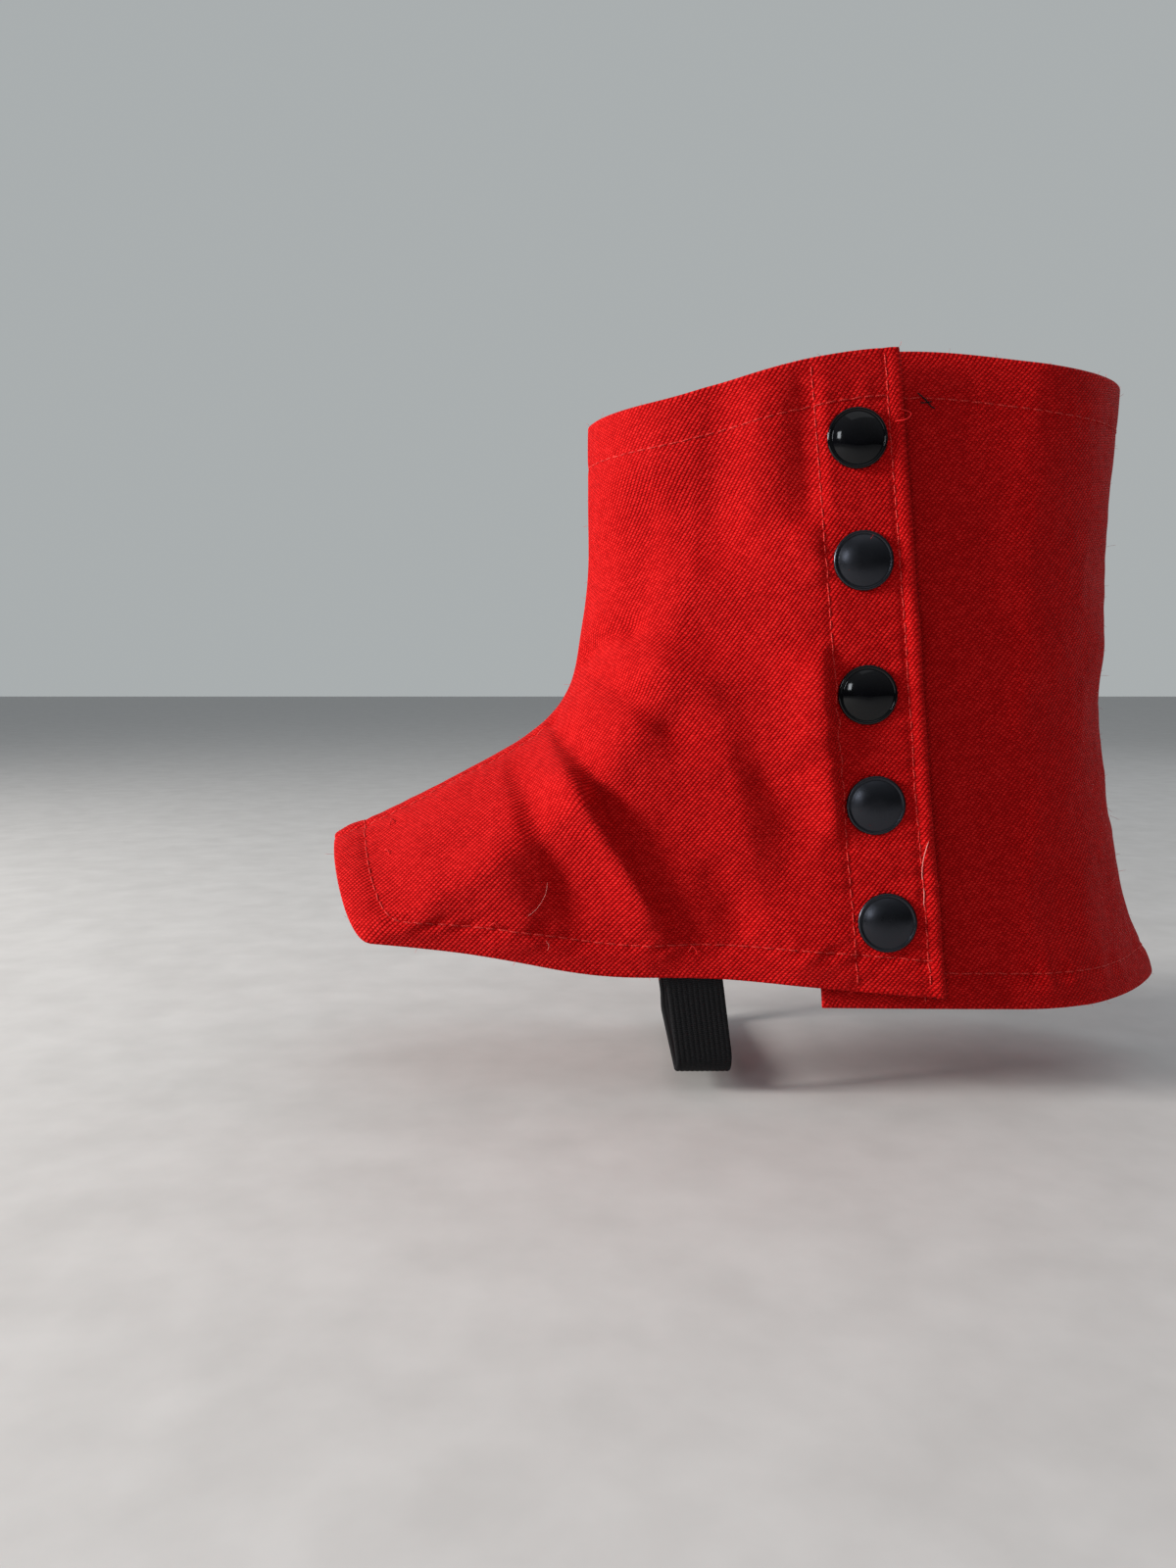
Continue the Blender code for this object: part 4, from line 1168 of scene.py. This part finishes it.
# %% Loose ends
LOOSE = {  # panel, radius of the thread, and its course as (x, z, height above the cloth)
    "black_ends": [
        ("outer_back", 0.17, [(8.9, 69.4, 0.3), (10.8, 67.6, 0.9), (12.2, 66.0, 0.9), (13.4, 65.6, 0.4)]),
        ("outer_back", 0.15, [(9.6, 67.0, 0.3), (10.9, 66.9, 0.8), (12.6, 67.3, 0.5)]),
        ("outer_back", 0.15, [(12.9, -80.6, 0.3), (14.2, -79.9, 0.6), (15.6, -81.2, 0.3)]),
    ],
    "red_ends": [
        ("outer_front", 0.16, [(3.2, 64.6, 0.2), (5.2, 63.6, 1.3), (4.6, 61.8, 1.5), (2.6, 61.6, 0.5)]),
        ("outer_front", 0.16, [(-96.9, -62.9, 0.1), (-95.4, -61.7, 0.9), (-94.2, -63.3, 0.6)]),
        ("outer_front", 0.15, [(-126.0, -38.9, 0.1), (-125.1, -39.7, 0.8), (-125.9, -40.6, 0.3)]),
        ("outer_front", 0.15, [(-126.2, -46.2, 0.1), (-124.9, -46.4, 0.8), (-124.3, -46.9, 0.3)]),
        ("outer_front", 0.16, [(-46.6, -69.6, 0.1), (-45.6, -68.2, 0.8), (-44.3, -69.8, 0.5)]),
    ],
    "pale_ends": [
        ("outer_front", 0.1, [
            (12.4, -40.8, 0.2), (11.5, -45.0, 0.7), (11.2, -49.2, 0.4),
            (11.6, -53.4, 0.3), (11.6, -57.2, 0.2),
        ]),
        ("outer_front", 0.035, [
            (-87.2, -60.2, 0.2), (-85.0, -58.2, 0.7), (-83.0, -55.0, 0.8), (-82.4, -52.0, 0.3),
        ]),
        ("outer_front", 0.035, [(-82.6, -66.6, 0.2), (-81.9, -67.8, 0.4), (-82.3, -69.0, 0.2)]),
    ],
}
LOOSE_COLOURS = {
    "black_ends": (0.005, 0.005, 0.006),
    "red_ends": (0.62, 0.012, 0.012),
    "pale_ends": (0.75, 0.3, 0.26),
}
LOOSE_STEPS = np.linspace(0, 1, 13)
print("loose ends:", {label: len(ends) for label, ends in LOOSE.items()})

# %% [markdown]
# ## Tubes for ends and fibres
# An end of thread follows a few listed points, over the nearest place on the cloth. A fibre of the
# nap starts at a point picked by chance near a free edge. Both become tubes, which share one small helper.


# %% Tubes
def on_cloth(name, x, z, height):
    """The point over a panel's outer face nearest to x, z in side view, lifted along the normal there."""
    outer = FACES[name][0]
    gap = (outer[..., 0] - x) ** 2 + (outer[..., 2] - z) ** 2
    at = np.unravel_index(np.argmin(gap), gap.shape)
    return np.array([x, outer[at][1], z]) + normals(outer)[at] * height


SLANT = (0.31, 0.17, 0.93)  # a direction that no course runs along
TUBE_TIP = 0.3  # radius of a tube's end rings, as a share of its own


def tubes(courses, radii, sides):
    """Tubes along courses of points: a ring at each, its radius small at both ends, and a cap at each end."""
    count, rings = courses.shape[:2]
    ahead = np.gradient(courses, axis=1)
    side = unit(np.cross(ahead, SLANT))
    number = np.arange(rings)
    taper = np.minimum(1.0, TUBE_TIP + np.minimum(number, number[::-1]))
    radius = np.asarray(radii)[:, None] * taper
    points = rings_about(courses, side, unit(np.cross(ahead, side)), radius, sides)
    return points.reshape(-1, 3), tube_faces(count, rings, sides)


NAP_HAIRS, NAP_RINGS, NAP_R = 420, 5, 0.035
NAP_ROWS, NAP_COLUMNS = 6, 70  # the rim, the hem and the back of each panel's grid, where fibres grow


def nap_courses():
    """Short fibres from the free edges: each leaves the cloth about along its normal and bends by chance."""
    dice = np.random.default_rng(11)
    roots, ways = [], []
    for outer, _inner in FACES.values():
        out = normals(outer)
        for part in (np.s_[:NAP_ROWS], np.s_[-NAP_ROWS:], np.s_[:, -NAP_COLUMNS:]):
            roots.append(outer[part].reshape(-1, 3))
            ways.append(out[part].reshape(-1, 3))
    roots, ways = np.concatenate(roots), np.concatenate(ways)
    chosen = dice.integers(0, len(roots), NAP_HAIRS)
    way = ways[chosen] + dice.normal(0, 0.5, (NAP_HAIRS, 3))
    bend = dice.normal(0, 0.35, (NAP_HAIRS, 3))
    length = dice.uniform(0.5, 1.9, (NAP_HAIRS, 1, 1))
    t = np.linspace(0, 1, NAP_RINGS)[None, :, None]
    return roots[chosen][:, None] + length * (way[:, None] * (t - 0.08) + bend[:, None] * t**2)


def loose_piece(name, courses, radii, sides, material):
    """An object from tubes, with the given material."""
    points, faces = tubes(courses, radii, sides)
    made = finish_mesh(name, points, faces, material)
    print(name, "tubes:", len(courses), "faces:", len(faces))
    return made


for label, ends in LOOSE.items():
    courses, radii = [], []
    for name, radius, course in ends:
        knots = np.array([on_cloth(name, *knot) for knot in course])
        courses.append(through(knots, LOOSE_STEPS * (len(knots) - 1)))
        radii.append(radius)
    material = new_material(label, LOOSE_COLOURS[label], 0.6, Specular_IOR_Level=0.2)[0]
    loose_piece(label, np.array(courses), radii, THREAD_SIDES, material)
NAP_RED = new_material("nap_red", (0.6, 0.02, 0.02), 0.7, Specular_IOR_Level=0.1)[0]
loose_piece("nap_fibres", nap_courses(), np.full(NAP_HAIRS, NAP_R), 3, NAP_RED)

# %% [markdown]
# ## Joining the halves
# The outer and inner pieces meet edge to edge at the centre of the front and of the back. Yarn laid between
# the two edges closes each seam, so that no light comes through it.

# %% Centre seams
SEAM_YARN_R, SEAM_RINGS = 0.46, 90


def seam_course(name, column):
    """A panel's edge column, brought to the middle plane y = 0, as evenly numbered points."""
    edge = FACES[name][0][1:-1, column] * (1, 0, 1)
    return through(edge, np.linspace(0, len(edge) - 1, SEAM_RINGS))


for label, name, column in (("seam_front", "outer_front", 0), ("seam_back", "outer_back", -1)):
    loose_piece(label, seam_course(name, column)[None], [SEAM_YARN_R], 8, RED_TWILL)

# %% [markdown]
# ## Floor
# A plain pale floor, just below the strap, takes the shadow. It is part of the stage and not of the object.

# %% Floor
FLOOR_Z, FLOOR_HALF = -0.1085, 6.0
FLOOR_DARK, FLOOR_LIGHT = (0.52, 0.51, 0.5), (0.58, 0.57, 0.56)


def pale_floor():
    """Off-white with a faint mottle."""
    material, tree, shader = new_material("pale_floor", (0.62, 0.62, 0.61), 0.7)
    mottle = noise(tree, add(tree, "ShaderNodeTexCoord").outputs["Object"], scale=60.0, detail=6.0)
    tree.links.new(ramp(tree, mottle, (0.3, FLOOR_DARK), (0.7, FLOOR_LIGHT)), shader.inputs["Base Color"])
    return material


floor_mesh = bpy.data.meshes.new("floor")
corners = [(x * FLOOR_HALF, y * FLOOR_HALF, FLOOR_Z) for x, y in ((-1, -1), (1, -1), (1, 1), (-1, 1))]
floor_mesh.from_pydata(corners, [], [(0, 1, 2, 3)])
floor_mesh.materials.append(pale_floor())
put("floor", floor_mesh)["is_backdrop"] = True
print("floor at", FLOOR_Z, "m")

# %% [markdown]
# ## Sizes
# The flat patterns, printed above, give the size that each panel was cut to. Last, the box of the solids and
# the box of what is drawn are printed side by side.

# %% Sizes
bpy.context.view_layer.update()
low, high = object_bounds()
for axis, a, b, c, d in zip("xyz", cad_low, cad_high, low, high):
    print(f"{axis}: solids {a / MM:.1f} to {b / MM:.1f} mm, drawn {c / MM:.1f} to {d / MM:.1f} mm")
